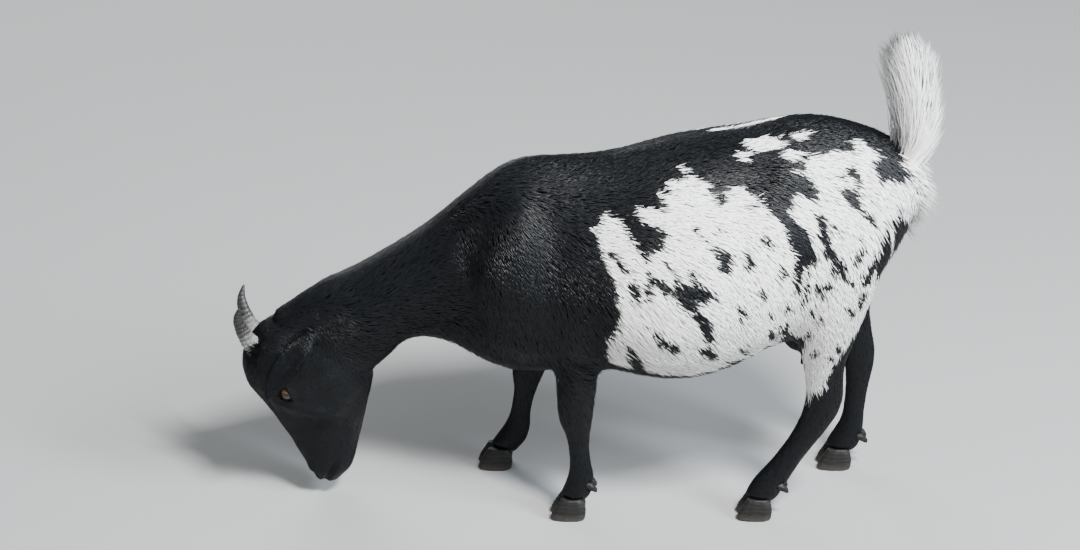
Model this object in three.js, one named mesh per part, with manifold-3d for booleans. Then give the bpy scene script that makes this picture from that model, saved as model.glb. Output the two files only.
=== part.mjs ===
// A grazing pygmy goat, life size, as a still display model.
// Millimetres, +Z up. The nose points to -X, the tail to +X, and the goat's left side is -Y.
// The flesh is lofted whole, then parted by thin cuts into head, neck, trunk, tail, ears and legs.
// Horns, eyes, hooves and dewclaws are pieces of their own.
import * as THREE from "three";
import { mergeVertices } from "three/addons/utils/BufferGeometryUtils.js";
import Module from "manifold-3d";

const wasm = await Module();
wasm.setup();

// ---------- driving dimensions ----------
const GAP = 0.4; // width of every parting cut
const WITHERS = 463; // height of the back over the shoulders
const HIPS = 519; // height of the back over the hips
const BELLY = 182; // height of the belly's lowest line
const BARREL = 163; // half width of the trunk at its widest
const TRACK = 70; // from the middle plane to the middle of a foot
const HORN_LENGTH = 80;
const EAR_LENGTH = 92;
const EYE_RADIUS = 12.5;
const EYE_OUT = 43; // from the middle plane to the middle of an eye
const TAIL_TOP = 620; // height of the tips of the tail's hair
// Height above the floor, and how far back from the left leg the right one stands there.
const FORE_STRIDE = [[0, -97], [45, -85], [135, -60], [250, -30], [360, 0]];
const HIND_STRIDE = [[0, 112], [52, 112], [100, 84], [150, 57], [240, 40], [330, 14], [400, 0]];
// The two ends of each cut across the body, seen from the side.
const HEAD_CUT = [[-430, 292], [-226, 163]]; // behind the poll and the jaw
const NECK_CUT = [[-122, 500], [-190, 140]]; // from before the withers down to the brisket
const LEFT = -1;
const RIGHT = 1;

// ---------- materials ----------
const finish = (color, roughness) =>
  new THREE.MeshStandardMaterial({ color, roughness, metalness: 0 });
const BLACK_COAT = finish(0x121317, 0.55);
const PIED_COAT = finish(0xd9d7d2, 0.7);
const WHITE_HAIR = finish(0xeeece6, 0.75);
const HORN = finish(0x6d675f, 0.5);
const HOOF = finish(0x1d1b1a, 0.5);
const EYE = finish(0x6b4423, 0.08);

// ---------- lofting ----------
// A station is one ring of a loft: its centre, its half axis "deep" (fore and aft, or up and down),
// its half axis "wide" (mostly sideways), and three numbers that shape the ring.
// egg > 0 makes the ring wider towards the tip of deep, square > 0 fills out its corners, and
// cup > 0 bends both ends of deep towards wide, as in an ear.
const station = (centre, deep, wide, { egg = 0, square = 0, cup = 0 } = {}) => ({
  centre: new THREE.Vector3(...centre),
  deep: new THREE.Vector3(...deep),
  wide: new THREE.Vector3(...wide),
  form: new THREE.Vector3(egg, square, cup),
});

// A ring that stands in the middle plane between an upper (or front) and a lower (or back) point.
function rib([upX, upZ], [lowX, lowZ], halfWidth, form) {
  const centre = [(upX + lowX) / 2, 0, (upZ + lowZ) / 2];
  const deep = [(upX - lowX) / 2, 0, (upZ - lowZ) / 2];
  return station(centre, deep, [0, halfWidth, 0], form);
}

// A ring round a leg: tilt is the angle in degrees by which the leg leans forwards on its way down.
function limbRing(x, y, z, halfDepth, halfWidth, tilt = 0, form) {
  const a = THREE.MathUtils.degToRad(tilt);
  const deep = [halfDepth * Math.cos(a), 0, -halfDepth * Math.sin(a)];
  return station([x, y, z], deep, [0, halfWidth, 0], form);
}

const pulled = (value, power) => Math.sign(value) * Math.abs(value) ** power;

// Wraps a unit cylinder round the stations, and closes it with its own two caps.
function loft(stations, rings, around) {
  const track = (key) =>
    new THREE.CatmullRomCurve3(stations.map((s) => s[key]), false, "catmullrom", 0.5);
  const [centre, deep, wide, form] = ["centre", "deep", "wide", "form"].map(track);
  const geometry = new THREE.CylinderGeometry(1, 1, 1, around, rings);
  const place = geometry.attributes.position;
  for (let i = 0; i < place.count; i += 1) {
    const t = 0.5 - place.getY(i);
    const radius = Math.min(1, Math.hypot(place.getX(i), place.getZ(i)));
    const angle = Math.atan2(place.getX(i), place.getZ(i));
    const shape = form.getPoint(t);
    const power = 1 - shape.y / 2;
    const d = radius * pulled(Math.cos(angle), power);
    const w = radius * pulled(Math.sin(angle), power) * (1 + shape.x * Math.cos(angle)) + shape.z * d * d;
    const point = centre.getPoint(t);
    point.addScaledVector(deep.getPoint(t), d).addScaledVector(wide.getPoint(t), w);
    place.setXYZ(i, point.x, point.y, point.z);
  }
  return geometry;
}

// ---------- solids ----------
const cornerOf = (place, i) => new THREE.Vector3().fromBufferAttribute(place, i);

// The triangles of an indexed geometry as corner numbers, faces outwards, without the flat ones.
function outwardTriangles(geometry) {
  const place = geometry.attributes.position;
  const index = geometry.index;
  const triangles = [];
  let volume = 0;
  for (let i = 0; i < index.count; i += 3) {
    const [a, b, c] = [index.getX(i), index.getX(i + 1), index.getX(i + 2)];
    if (a === b || b === c || a === c) continue;
    triangles.push(a, b, c);
    volume += cornerOf(place, a).dot(cornerOf(place, b).cross(cornerOf(place, c)));
  }
  return volume > 0 ? triangles : triangles.reverse();
}

// Turns a geometry into a solid for joining and cutting, swollen on every side by grow.
function solid(geometry, grow = 0) {
  const bare = geometry.clone();
  bare.deleteAttribute("normal");
  bare.deleteAttribute("uv");
  const merged = mergeVertices(bare, 1e-3);
  merged.setIndex(outwardTriangles(merged));
  merged.computeVertexNormals();
  const place = merged.attributes.position;
  for (let i = 0; i < place.count; i += 1) {
    const point = cornerOf(place, i).addScaledVector(cornerOf(merged.attributes.normal, i), grow);
    place.setXYZ(i, point.x, point.y, point.z);
  }
  return new wasm.Manifold(
    new wasm.Mesh({
      numProp: 3,
      vertProperties: new Float32Array(place.array),
      triVerts: new Uint32Array(merged.index.array),
    }),
  );
}

// The largest body of a solid: a cut can leave crumbs.
const largest = (made) => made.decompose().sort((a, b) => b.volume() - a.volume())[0];

function meshOf(name, made, material) {
  const body = largest(made).getMesh();
  const geometry = new THREE.BufferGeometry();
  geometry.setAttribute("position", new THREE.BufferAttribute(new Float32Array(body.vertProperties), 3));
  geometry.setIndex(new THREE.BufferAttribute(new Uint32Array(body.triVerts), 1));
  geometry.computeVertexNormals();
  const mesh = new THREE.Mesh(geometry, material);
  mesh.name = name;
  return mesh;
}

// ---------- trunk and neck: one loft from the rump to the poll ----------
function trunkAndNeck() {
  const rump = [
    rib([419, 459], [421, 436], 20),
    rib([408, 472], [410, 410], 44),
    rib([380, HIPS - 33], [380, 345], 74, { egg: -0.1 }),
    rib([335, HIPS - 15], [335, 286], 104, { egg: -0.2 }),
    rib([292, HIPS - 3], [290, 250], 122, { egg: -0.22 }),
  ];
  const barrel = [
    rib([250, HIPS - 3], [250, 232], 135, { egg: -0.2 }),
    rib([205, HIPS - 13], [205, 213], 151, { egg: -0.2 }),
    rib([160, HIPS - 23], [160, BELLY + 11], BARREL - 2, { egg: -0.18, square: 0.08 }),
    rib([112, HIPS - 31], [112, BELLY], BARREL, { egg: -0.16, square: 0.08 }),
    rib([68, HIPS - 43], [68, BELLY + 3], BARREL - 5, { egg: -0.16, square: 0.08 }),
    rib([25, WITHERS + 3], [25, BELLY + 10], BARREL - 17, { egg: -0.18 }),
  ];
  const chest = [
    rib([-18, WITHERS], [-18, BELLY + 7], 130, { egg: -0.2 }),
    rib([-60, WITHERS + 1], [-60, BELLY], 112, { egg: -0.22 }),
    rib([-98, WITHERS - 4], [-106, BELLY - 1], 96, { egg: -0.16 }),
    rib([-130, WITHERS - 25], [-144, BELLY + 15], 83, { egg: -0.08 }),
  ];
  const neck = [
    rib([-165, 408], [-172, 213], 73),
    rib([-207, 370], [-203, 222], 66),
    rib([-252, 341], [-229, 219], 61),
    rib([-298, 313], [-247, 199], 57),
    rib([-340, 286], [-264, 180], 53),
    rib([-374, 262], [-300, 172], 47, { square: 0.2 }),
    rib([-392, 249], [-330, 176], 36, { square: 0.2 }),
  ];
  return loft([...rump, ...barrel, ...chest, ...neck], 28, 20);
}

// ---------- head: rings from the crown down to the lips ----------
function headLoft() {
  return loft(
    [
      rib([-408, 236], [-356, 250], 26),
      rib([-424, 227], [-318, 240], 42),
      rib([-436, 206], [-286, 214], 54, { egg: -0.05 }),
      rib([-440, 182], [-271, 186], 58, { egg: 0.05 }),
      rib([-435, 158], [-272, 162], 56, { egg: 0.1 }),
      rib([-419, 136], [-278, 140], 49, { egg: 0.02 }),
      rib([-399, 108], [-283, 116], 40, { egg: -0.08 }),
      rib([-380, 80], [-289, 92], 34, { egg: -0.08 }),
      rib([-367, 54], [-295, 68], 31, { square: 0.15 }),
      rib([-357, 35], [-300, 48], 29, { square: 0.2 }),
      rib([-346, 22], [-308, 36], 24, { square: 0.2 }),
      rib([-338, 17], [-320, 26], 13),
    ],
    14,
    16,
  );
}

// ---------- legs ----------
function stride(side, table, z) {
  if (side === LEFT) return 0;
  const next = table.findIndex(([height]) => height > z);
  if (next < 1) return next === 0 ? table[0][1] : table.at(-1)[1];
  const [[z0, x0], [z1, x1]] = [table[next - 1], table[next]];
  return THREE.MathUtils.mapLinear(z, z0, z1, x0, x1);
}

function foreleg(side) {
  const ring = (x, y, z, ...size) => limbRing(x + stride(side, FORE_STRIDE, z), side * y, z, ...size);
  return loft(
    [
      ring(-78, 44, 430, 24, 16),
      ring(-80, 58, 405, 42, 25),
      ring(-78, 73, 365, 60, 34),
      ring(-64, 80, 318, 76, 39),
      ring(-44, 82, 280, 66, 36),
      ring(-22, 80, 248, 46, 31),
      ring(-16, 77, 215, 33, 26),
      ring(-17, 74, 184, 27, 22),
      ring(-18, TRACK + 1, 158, 25, 21.5, 0, { square: 0.15 }),
      ring(-18, TRACK, 137, 23, 20.5, 0, { square: 0.15 }),
      ring(-15, TRACK, 114, 16.5, 15.5),
      ring(-13, TRACK, 90, 14, 14),
      ring(-11, TRACK, 68, 15, 15),
      ring(-10.5, TRACK, 50, 19.5, 19, 12),
      ring(-17, TRACK, 35, 17.5, 19.5, 26),
      ring(-24, TRACK, 23, 18, 20, 18),
    ],
    18,
    11,
  );
}

function hindLeg(side) {
  const ring = (x, y, z, ...size) => limbRing(x + stride(side, HIND_STRIDE, z), side * y, z, ...size);
  return loft(
    [
      ring(300, 48, 470, 42, 22),
      ring(316, 64, 440, 64, 34),
      ring(311, 76, 400, 70, 45),
      ring(299, 84, 355, 63, 48),
      ring(294, 88, 312, 55, 46),
      ring(291, 86, 275, 46, 38),
      ring(290, 81, 243, 36, 30),
      ring(289, 76, 212, 27, 23),
      ring(292, TRACK + 2, 182, 26, 20, 8),
      ring(291, TRACK, 160, 25, 19.5, 20, { square: 0.1 }),
      ring(281, TRACK, 134, 20.5, 17, 30),
      ring(266, TRACK, 108, 17.5, 15, 31),
      ring(250, TRACK, 83, 16.5, 15, 32),
      ring(236, TRACK, 61, 18, 17, 32),
      ring(226, TRACK, 46, 20.5, 19, 30),
      ring(217, TRACK, 33, 19, 19.5, 28),
      ring(211, TRACK, 23, 19, 20, 20),
    ],
    19,
    11,
  );
}

// One claw of a cloven hoof: a flat sole, a front wall that slopes, and a toe that turns inwards.
const HOOF_HEIGHT = 30;
const HOOF_LENGTH = 47;
const CLAW_WIDTH = 19;

function claw(footX, footY, inOut) {
  const ring = (z, toe, heel, width, form) => {
    const middleY = footY + inOut * (0.8 + CLAW_WIDTH / 2);
    const centre = [footX + (toe + heel) / 2, middleY, z];
    return station(centre, [(toe - heel) / 2, 0, 0], [0, (inOut * width) / 2, 0], form);
  };
  const toe = -HOOF_LENGTH / 2;
  const heel = HOOF_LENGTH / 2;
  const form = { egg: -0.18, square: 0.45 };
  return loft(
    [
      ring(0, toe + 3, heel - 4, CLAW_WIDTH - 3, form),
      ring(3, toe, heel - 1, CLAW_WIDTH, form),
      ring(14, toe + 4, heel, CLAW_WIDTH, form),
      ring(HOOF_HEIGHT - 7, toe + 10, heel - 2, CLAW_WIDTH - 1, form),
      ring(HOOF_HEIGHT, toe + 14, heel - 6, CLAW_WIDTH - 5, form),
    ],
    4,
    9,
  );
}

function dewclaw(x, y, z) {
  return loft(
    [
      station([x - 10, y, z + 2], [0, 0, 5], [0, 5, 0]),
      station([x - 2, y, z], [0, 0, 6.5], [0, 6, 0]),
      station([x + 3, y, z - 3], [0, 0, 5.5], [0, 5, 0]),
      station([x + 6, y, z - 6], [0, 0, 2.5], [0, 2.5, 0]),
    ],
    3,
    6,
  );
}

// ---------- udder, tail, ears, horns, eyes ----------
function udder() {
  return loft(
    [
      station([292, 0, 256], [44, 0, 0], [0, 30, 0]),
      station([284, 0, 232], [44, 0, 0], [0, 32, 0]),
      station([276, 0, 212], [34, 0, 0], [0, 27, 0]),
      station([272, 0, 201], [18, 0, 0], [0, 15, 0]),
    ],
    6,
    12,
  );
}

function tailLoft() {
  const ring = (x, z, halfDepth, halfWidth) => limbRing(x, 0, z, halfDepth, halfWidth);
  return loft(
    [
      ring(390, 452, 18, 16),
      ring(405, 474, 24, 19),
      ring(408, 497, 28, 21),
      ring(406, 519, 29, 23),
      ring(401, 539, 31, 25),
      ring(392, 560, 35, 27),
      ring(386, 580, 37.5, 28),
      ring(382, 602, 39, 27),
      ring(379, TAIL_TOP - 6, 33, 20),
      ring(379, TAIL_TOP, 18, 9),
    ],
    10,
    12,
  );
}

// A leaf-shaped ear, cupped towards the front, hanging forwards and out from behind the horns.
function earLoft(side) {
  const root = new THREE.Vector3(-346, side * 40, 240);
  const along = new THREE.Vector3(-58, side * 34, -62).normalize();
  const thick = new THREE.Vector3(-0.36, side * 0.72, 0.42);
  const across = new THREE.Vector3().crossVectors(along, thick).normalize();
  thick.crossVectors(across, along).normalize();
  const leaf = [
    [0, 9, 8, 0],
    [0.1, 12, 6.5, 0.3],
    [0.28, 16.5, 4.2, 1.2],
    [0.48, 18, 3.2, 1.7],
    [0.68, 16, 2.8, 1.4],
    [0.85, 11, 2.4, 0.8],
    [0.96, 6, 2, 0.3],
    [1, 2.5, 1.4, 0],
  ];
  const stations = leaf.map(([t, halfWidth, halfThick, cup]) => {
    const centre = root.clone().addScaledVector(along, t * EAR_LENGTH);
    centre.z -= 10 * t * t; // the tip droops
    return station(
      centre.toArray(),
      across.clone().multiplyScalar(halfWidth).toArray(),
      thick.clone().multiplyScalar(halfThick).toArray(),
      { cup },
    );
  });
  return loft(stations, 9, 10);
}

// A short horn, deeper than it is wide, that rises ahead of the poll and bends back at its tip.
const HORN_RINGS = 5;

function hornLoft(side) {
  const axis = new THREE.CatmullRomCurve3(
    [
      [-412, 17, 200],
      [-426, 20, 219],
      [-436, 25, 240],
      [-440, 31, 258],
      [-436, 37, 275],
    ].map(([x, y, z]) => new THREE.Vector3(x, side * y, z)),
  );
  const steps = 2 * HORN_RINGS;
  const stations = Array.from({ length: steps + 1 }, (_, i) => {
    const t = i / steps;
    const heading = axis.getTangentAt(t);
    const taper = Math.max(0.1, (1 - t) ** 0.62);
    const swell = t < 0.75 && i % 2 ? 1.05 : 1;
    const deep = new THREE.Vector3(0, 1, 0).cross(heading).normalize();
    const wide = new THREE.Vector3().crossVectors(heading, deep).normalize();
    return station(
      axis.getPointAt(t).toArray(),
      deep.multiplyScalar(14.5 * taper * swell).toArray(),
      wide.multiplyScalar(10.5 * taper * swell).toArray(),
    );
  });
  return loft(stations, steps, 8);
}

function eyeball(side) {
  const geometry = new THREE.SphereGeometry(EYE_RADIUS, 10, 6);
  geometry.translate(-378, side * EYE_OUT, 163);
  return geometry;
}

// ---------- cuts ----------
// A thin slab standing on a line of the middle plane, wide enough to part the whole body there.
function slab([x0, z0], [x1, z1]) {
  const geometry = new THREE.BoxGeometry(Math.hypot(x1 - x0, z1 - z0), 600, GAP);
  geometry.rotateY(Math.atan2(z0 - z1, x1 - x0));
  geometry.translate((x0 + x1) / 2, 0, (z0 + z1) / 2);
  return solid(geometry);
}

// The room of a leg seen from the side: an arch over the shoulder or hip, and a wider foot below the belly.
// It reaches outwards from the plane inY, and grow widens it on every side.
const UNDER_BELLY = 168;

function legRoom(side, { left, right, waist, top, inY, spread }, grow = 0) {
  const middle = (left + right) / 2;
  const half = (right - left) / 2 + grow;
  const foot = half + spread;
  const shape = new THREE.Shape();
  shape.moveTo(middle - foot, -50);
  shape.lineTo(middle + foot, -50);
  shape.lineTo(middle + foot, UNDER_BELLY + grow);
  shape.lineTo(middle + half, UNDER_BELLY + grow);
  shape.lineTo(middle + half, waist);
  shape.absellipse(middle, waist, half, top - waist + grow, 0, Math.PI, false, 0);
  shape.lineTo(middle - half, UNDER_BELLY + grow);
  shape.lineTo(middle - foot, UNDER_BELLY + grow);
  const depth = 300;
  const geometry = new THREE.ExtrudeGeometry(shape, { depth, bevelEnabled: false, curveSegments: 10 });
  geometry.rotateX(Math.PI / 2);
  geometry.translate(0, side === LEFT ? grow - inY : depth + inY - grow, 0);
  return solid(geometry);
}

// ---------- assembly ----------
const FORE_ROOM = { left: -148, right: 44, waist: 300, top: 425, inY: 36, spread: 60 };
const HIND_ROOM = { left: 226, right: 408, waist: 350, top: 468, inY: 34, spread: 70 };
const SIDES = [
  { side: LEFT, word: "left" },
  { side: RIGHT, word: "right" },
];

const limbs = SIDES.flatMap(({ side, word }) => [
  {
    side,
    word: `fore_${word}`,
    shape: foreleg(side),
    room: FORE_ROOM,
    footX: -27 + stride(side, FORE_STRIDE, 12),
    spurX: 31,
    spurZ: 46,
  },
  {
    side,
    word: `hind_${word}`,
    shape: hindLeg(side),
    room: HIND_ROOM,
    footX: 208 + stride(side, HIND_STRIDE, 12),
    spurX: 37,
    spurZ: 45,
  },
]);

// Pieces of their own, each of which gets a socket in the flesh.
const pieces = [{ name: "tail", shape: tailLoft(), material: WHITE_HAIR }];
for (const { side, word } of SIDES) {
  pieces.push({ name: `ear_${word}`, shape: earLoft(side), material: BLACK_COAT });
  pieces.push({ name: `horn_${word}`, shape: hornLoft(side), material: HORN });
  pieces.push({ name: `eye_${word}`, shape: eyeball(side), material: EYE });
}
for (const { side, word, footX, spurX, spurZ } of limbs) {
  for (const inOut of [-1, 1]) {
    const place = inOut === side ? "outer" : "inner";
    pieces.push({ name: `hoof_${word}_${place}`, shape: claw(footX, side * TRACK, inOut), material: HOOF });
    const spur = dewclaw(footX + spurX, side * TRACK + inOut * 9, spurZ);
    pieces.push({ name: `dewclaw_${word}_${place}`, shape: spur, material: HOOF });
  }
}

const fleshy = [headLoft(), udder(), ...limbs.map((limb) => limb.shape)];
let flesh = fleshy.reduce((all, one) => all.add(solid(one)), solid(trunkAndNeck()));
for (const piece of pieces) flesh = flesh.subtract(solid(piece.shape, GAP));

const goat = new THREE.Group();
for (const { side, word, room } of limbs) {
  const leg = flesh.intersect(legRoom(side, room));
  goat.add(meshOf(`leg_${word}`, leg, word.startsWith("fore") ? BLACK_COAT : PIED_COAT));
}
for (const { side, room } of limbs) flesh = flesh.subtract(legRoom(side, room, GAP));
flesh = flesh.subtract(slab(...HEAD_CUT)).subtract(slab(...NECK_CUT));

const [trunk, neck, head] = flesh.decompose().sort((a, b) => b.volume() - a.volume());
goat.add(meshOf("trunk", trunk, PIED_COAT));
goat.add(meshOf("neck", neck, BLACK_COAT));
goat.add(meshOf("head", head, BLACK_COAT));
for (const { name, shape, material } of pieces) goat.add(meshOf(name, solid(shape), material));

// The origin is the middle of the model's box, on the floor.
const box = new THREE.Box3().setFromObject(goat);
const middle = box.getCenter(new THREE.Vector3());
goat.position.set(-middle.x, -middle.y, -box.min.z);
goat.updateMatrixWorld(true);

export default goat;
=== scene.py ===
# %% [markdown]
# # A grazing pygmy goat
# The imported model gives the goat's solids: head, neck, trunk, tail, legs, ears, horns, eyes and hooves.
# This lesson dresses them. One skin is drawn over all the flesh, short hair grows out of it in solid tufts
# that follow the lie of a real goat's coat, and horns, eyes and hooves get finer shapes of their own.

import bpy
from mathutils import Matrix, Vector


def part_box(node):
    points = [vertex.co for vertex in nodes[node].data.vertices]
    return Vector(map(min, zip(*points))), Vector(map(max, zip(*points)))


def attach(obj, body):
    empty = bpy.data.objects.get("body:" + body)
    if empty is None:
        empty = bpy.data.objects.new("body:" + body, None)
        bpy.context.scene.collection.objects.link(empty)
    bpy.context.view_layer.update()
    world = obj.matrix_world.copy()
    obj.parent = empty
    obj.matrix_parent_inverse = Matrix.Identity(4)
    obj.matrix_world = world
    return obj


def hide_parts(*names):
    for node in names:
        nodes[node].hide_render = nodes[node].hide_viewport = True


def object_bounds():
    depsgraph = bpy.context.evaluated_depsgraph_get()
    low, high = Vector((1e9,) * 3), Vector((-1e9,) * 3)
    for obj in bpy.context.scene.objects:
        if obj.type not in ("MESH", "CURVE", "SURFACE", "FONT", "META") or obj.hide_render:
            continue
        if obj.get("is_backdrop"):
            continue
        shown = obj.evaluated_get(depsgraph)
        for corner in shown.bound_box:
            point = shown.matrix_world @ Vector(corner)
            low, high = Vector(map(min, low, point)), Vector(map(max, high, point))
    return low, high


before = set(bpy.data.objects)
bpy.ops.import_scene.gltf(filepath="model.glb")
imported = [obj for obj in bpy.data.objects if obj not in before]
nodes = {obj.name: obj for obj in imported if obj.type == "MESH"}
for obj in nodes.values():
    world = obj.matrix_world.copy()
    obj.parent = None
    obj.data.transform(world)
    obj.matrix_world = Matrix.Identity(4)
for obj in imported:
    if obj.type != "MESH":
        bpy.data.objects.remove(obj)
CAD_BOX = [list(corner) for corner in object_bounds()]
print("the solids reach from", CAD_BOX[0], "to", CAD_BOX[1])

# %% [markdown]
# ## Tools and units
# bpy makes the objects, numpy moves many points at once, and openvdb, which Blender carries for its own
# remeshing, turns closed meshes into grids of distances. Lengths below are in millimetres where a name says
# so, and MM brings them to Blender's metres. Every random choice comes from a seeded generator.

# %% Units and helpers
import math

import bmesh
import bpy
import numpy as np
import openvdb as vdb
from mathutils import Vector

MM = 0.001
SIDES = {"left": -1.0, "right": 1.0}  # the goat faces -X, so its left side is -Y
print(len(nodes), "solids in the frame")


def unit(vectors):
    """Each row brought to length one."""
    vectors = np.asarray(vectors, np.float64)
    return vectors / np.maximum(np.linalg.norm(vectors, axis=-1, keepdims=True), 1e-12)


def smoothstep(low, high, values):
    """0 below low, 1 above high and a soft climb between them."""
    t = np.clip((values - low) / (high - low), 0.0, 1.0)
    return t * t * (3.0 - 2.0 * t)


def read(collection, name, width, kind=np.float32):
    """One property of all vertices, loops or triangles as an array."""
    values = np.empty(len(collection) * width, kind)
    collection.foreach_get(name, values)
    return values.reshape(-1, width)


def reshape(mesh, points):
    """New places for a mesh's points, and smooth faces."""
    mesh.vertices.foreach_set("co", points.astype(np.float32).ravel())
    mesh.polygons.foreach_set("use_smooth", np.ones(len(mesh.polygons), bool))


def folded(points):
    """Points in millimetres, with the goat's right side laid over its left."""
    flat = points * 1000.0
    flat[:, 1] = np.abs(flat[:, 1])
    return flat


# %% [markdown]
# ## Camera, floor and light
# The camera looks down on the goat's left side from about 24 degrees, from a few metres away, so a long
# lens keeps the legs upright. A Sun lamp would give hard black shadows, so square area lamps do the work:
# one stands in for the sun over the viewer's right shoulder, a cooler one beside it rakes along the flank,
# a weak one fills the shadows, and one behind the goat skims its back, which is what makes black hair show
# its form.

# %% Camera
CAMERA_TILT = math.radians(24.0)
CAMERA_DISTANCE = 4.2
LENS_MM = 112.0
AIM = Vector((-0.0572, 0.0, 0.3025))

camera_data = bpy.data.cameras.new("camera")
camera_data.sensor_width = 36.0
camera_data.lens = LENS_MM
camera = bpy.data.objects.new("camera", camera_data)
away = Vector((0.0, -math.cos(CAMERA_TILT), math.sin(CAMERA_TILT)))
camera.location = AIM + CAMERA_DISTANCE * away
camera.rotation_euler = (math.radians(90.0) - CAMERA_TILT, 0.0, 0.0)
bpy.context.scene.collection.objects.link(camera)
bpy.context.scene.camera = camera
print("camera at", [round(v, 3) for v in camera.location])


# %% Floor and world
def add_piece(name, mesh, material):
    """A mesh object in the scene, with its material."""
    mesh.materials.append(material)
    piece = bpy.data.objects.new(name, mesh)
    bpy.context.scene.collection.objects.link(piece)
    return piece


def new_material(name, constants):
    """A material and its shader; constants go straight onto the shader's sockets."""
    material = bpy.data.materials.new(name)
    material.use_nodes = True
    shader = material.node_tree.nodes["Principled BSDF"]
    for label, value in constants.items():
        shader.inputs[label].default_value = value
    return material, shader


FLOOR_HALF = 30.0
floor_mesh = bpy.data.meshes.new("floor")
corners = [(-1, -1), (1, -1), (1, 1), (-1, 1)]
floor_mesh.from_pydata([(x * FLOOR_HALF, y * FLOOR_HALF, 0.0) for x, y in corners], [], [(0, 1, 2, 3)])
floor_finish, _ = new_material("pale floor", {"Base Color": (0.34, 0.337, 0.33, 1.0), "Roughness": 0.8})
floor = add_piece("floor", floor_mesh, floor_finish)
floor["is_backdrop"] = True

world = bpy.data.worlds.new("studio")
bpy.context.scene.world = world
world.use_nodes = True
backdrop = world.node_tree.nodes["Background"]
backdrop.inputs["Color"].default_value = (0.86, 0.93, 1.0, 1.0)
backdrop.inputs["Strength"].default_value = 0.17
print("floor", 2 * FLOOR_HALF, "m across")


# %% Lamps
def softbox(name, place, size, power, color):
    """A square area lamp that faces the goat's middle."""
    data = bpy.data.lights.new(name, "AREA")
    data.size = size
    data.energy = power
    data.color = color
    lamp = bpy.data.objects.new(name, data)
    lamp.location = place
    lamp.rotation_euler = (Vector((0.0, 0.0, 0.3)) - Vector(place)).to_track_quat("-Z", "Y").to_euler()
    bpy.context.scene.collection.objects.link(lamp)
    print(name, power, "W over", size, "m")


softbox("sun", (1.3, -2.2, 3.4), 0.8, 480.0, (0.98, 0.99, 1.0))
softbox("side light", (3.3, -1.9, 2.7), 1.4, 330.0, (0.80, 0.91, 1.0))
softbox("fill", (-2.8, -2.2, 1.6), 2.2, 16.0, (0.88, 0.94, 1.0))
softbox("back light", (-1.2, 2.6, 2.4), 1.8, 80.0, (0.92, 0.96, 1.0))

# %% [markdown]
# ## From solids to one smooth field
# The hide runs unbroken over head, neck, trunk and legs. Boolean unions of the solids would leave a crease
# at every join. A level set holds, at each point of a grid, the distance to the nearest surface, negative
# inside, and is easy to join (take the smaller distance), to shrink (add a length) and to soften (blur the
# numbers). The flesh nodes are joined a little swollen, which closes the thin cuts between them, and
# measured again.


# %% Distance fields
class Field:
    """Distances on a regular grid, read between the grid points by straight mixing."""

    def __init__(self, low, spacing, values):
        self.low = np.asarray(low, np.float64)
        self.spacing = spacing
        self.values = values

    def at(self, points):
        shape = np.array(self.values.shape)
        place = np.clip((points - self.low) / self.spacing, 0.0, shape - 1.001)
        cell = place.astype(np.int64)
        f = (place - cell).astype(np.float32)
        flat = self.values.ravel()
        base = (cell[:, 0] * shape[1] + cell[:, 1]) * shape[2] + cell[:, 2]
        step_x, step_y = int(shape[1] * shape[2]), int(shape[2])

        def row(start):
            return flat[start] * (1 - f[:, 2]) + flat[start + 1] * f[:, 2]

        near = row(base) * (1 - f[:, 1]) + row(base + step_y) * f[:, 1]
        far = row(base + step_x) * (1 - f[:, 1]) + row(base + step_x + step_y) * f[:, 1]
        return near * (1 - f[:, 0]) + far * f[:, 0]


def mesh_arrays(mesh):
    """A mesh's points and triangles."""
    mesh.calc_loop_triangles()
    return read(mesh.vertices, "co", 3), read(mesh.loop_triangles, "vertices", 3, np.int32).astype(np.uint32)


def distances(points, low, shape, spacing, reach, **faces):
    """The distance to a closed mesh at every point of a grid, cut off at reach."""
    rows = [[spacing if i == j else 0.0 for j in range(3)] + [0.0] for i in range(3)]
    transform = vdb.createLinearTransform(rows + [[float(v) for v in low] + [1.0]])
    grid = vdb.FloatGrid.createLevelSetFromPolygons(
        points, transform=transform, halfWidth=reach / spacing, **faces
    )
    values = np.full(shape, reach, np.float32)
    grid.copyToArray(values)
    return values


def surface(field, level=0.0):
    """The points and quads of a field's surface at a level."""
    grid = vdb.FloatGrid(float(field.values.max()))
    grid.copyFromArray(field.values)
    points, quads = grid.convertToQuads(level)
    return (points * field.spacing + field.low).astype(np.float32), quads


def field_of(names, low, high, spacing, reach):
    """The joined distance field of some nodes over a box."""
    shape = tuple(int(n) for n in np.ceil((np.asarray(high) - low) / spacing) + 1)
    joined = np.full(shape, reach, np.float32)
    for name in names:
        points, triangles = mesh_arrays(nodes[name].data)
        np.minimum(joined, distances(points, low, shape, spacing, reach, triangles=triangles), out=joined)
    return Field(low, spacing, joined)


def blurred(field, sigma):
    """A copy of a field softened by a bell curve of width sigma."""
    cells = sigma / field.spacing
    radius = int(math.ceil(2.6 * cells))
    weights = np.exp(-0.5 * (np.arange(-radius, radius + 1) / cells) ** 2)
    weights = (weights / weights.sum()).astype(np.float32)
    values = field.values
    for axis in range(3):
        margin = [(radius, radius) if a == axis else (0, 0) for a in range(3)]
        padded = np.moveaxis(np.pad(values, margin, mode="edge"), axis, 0)
        length = values.shape[axis]
        total = sum(w * padded[k : k + length] for k, w in enumerate(weights))
        values = np.moveaxis(total, 0, axis)
    return Field(field.low, field.spacing, np.ascontiguousarray(values))


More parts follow.
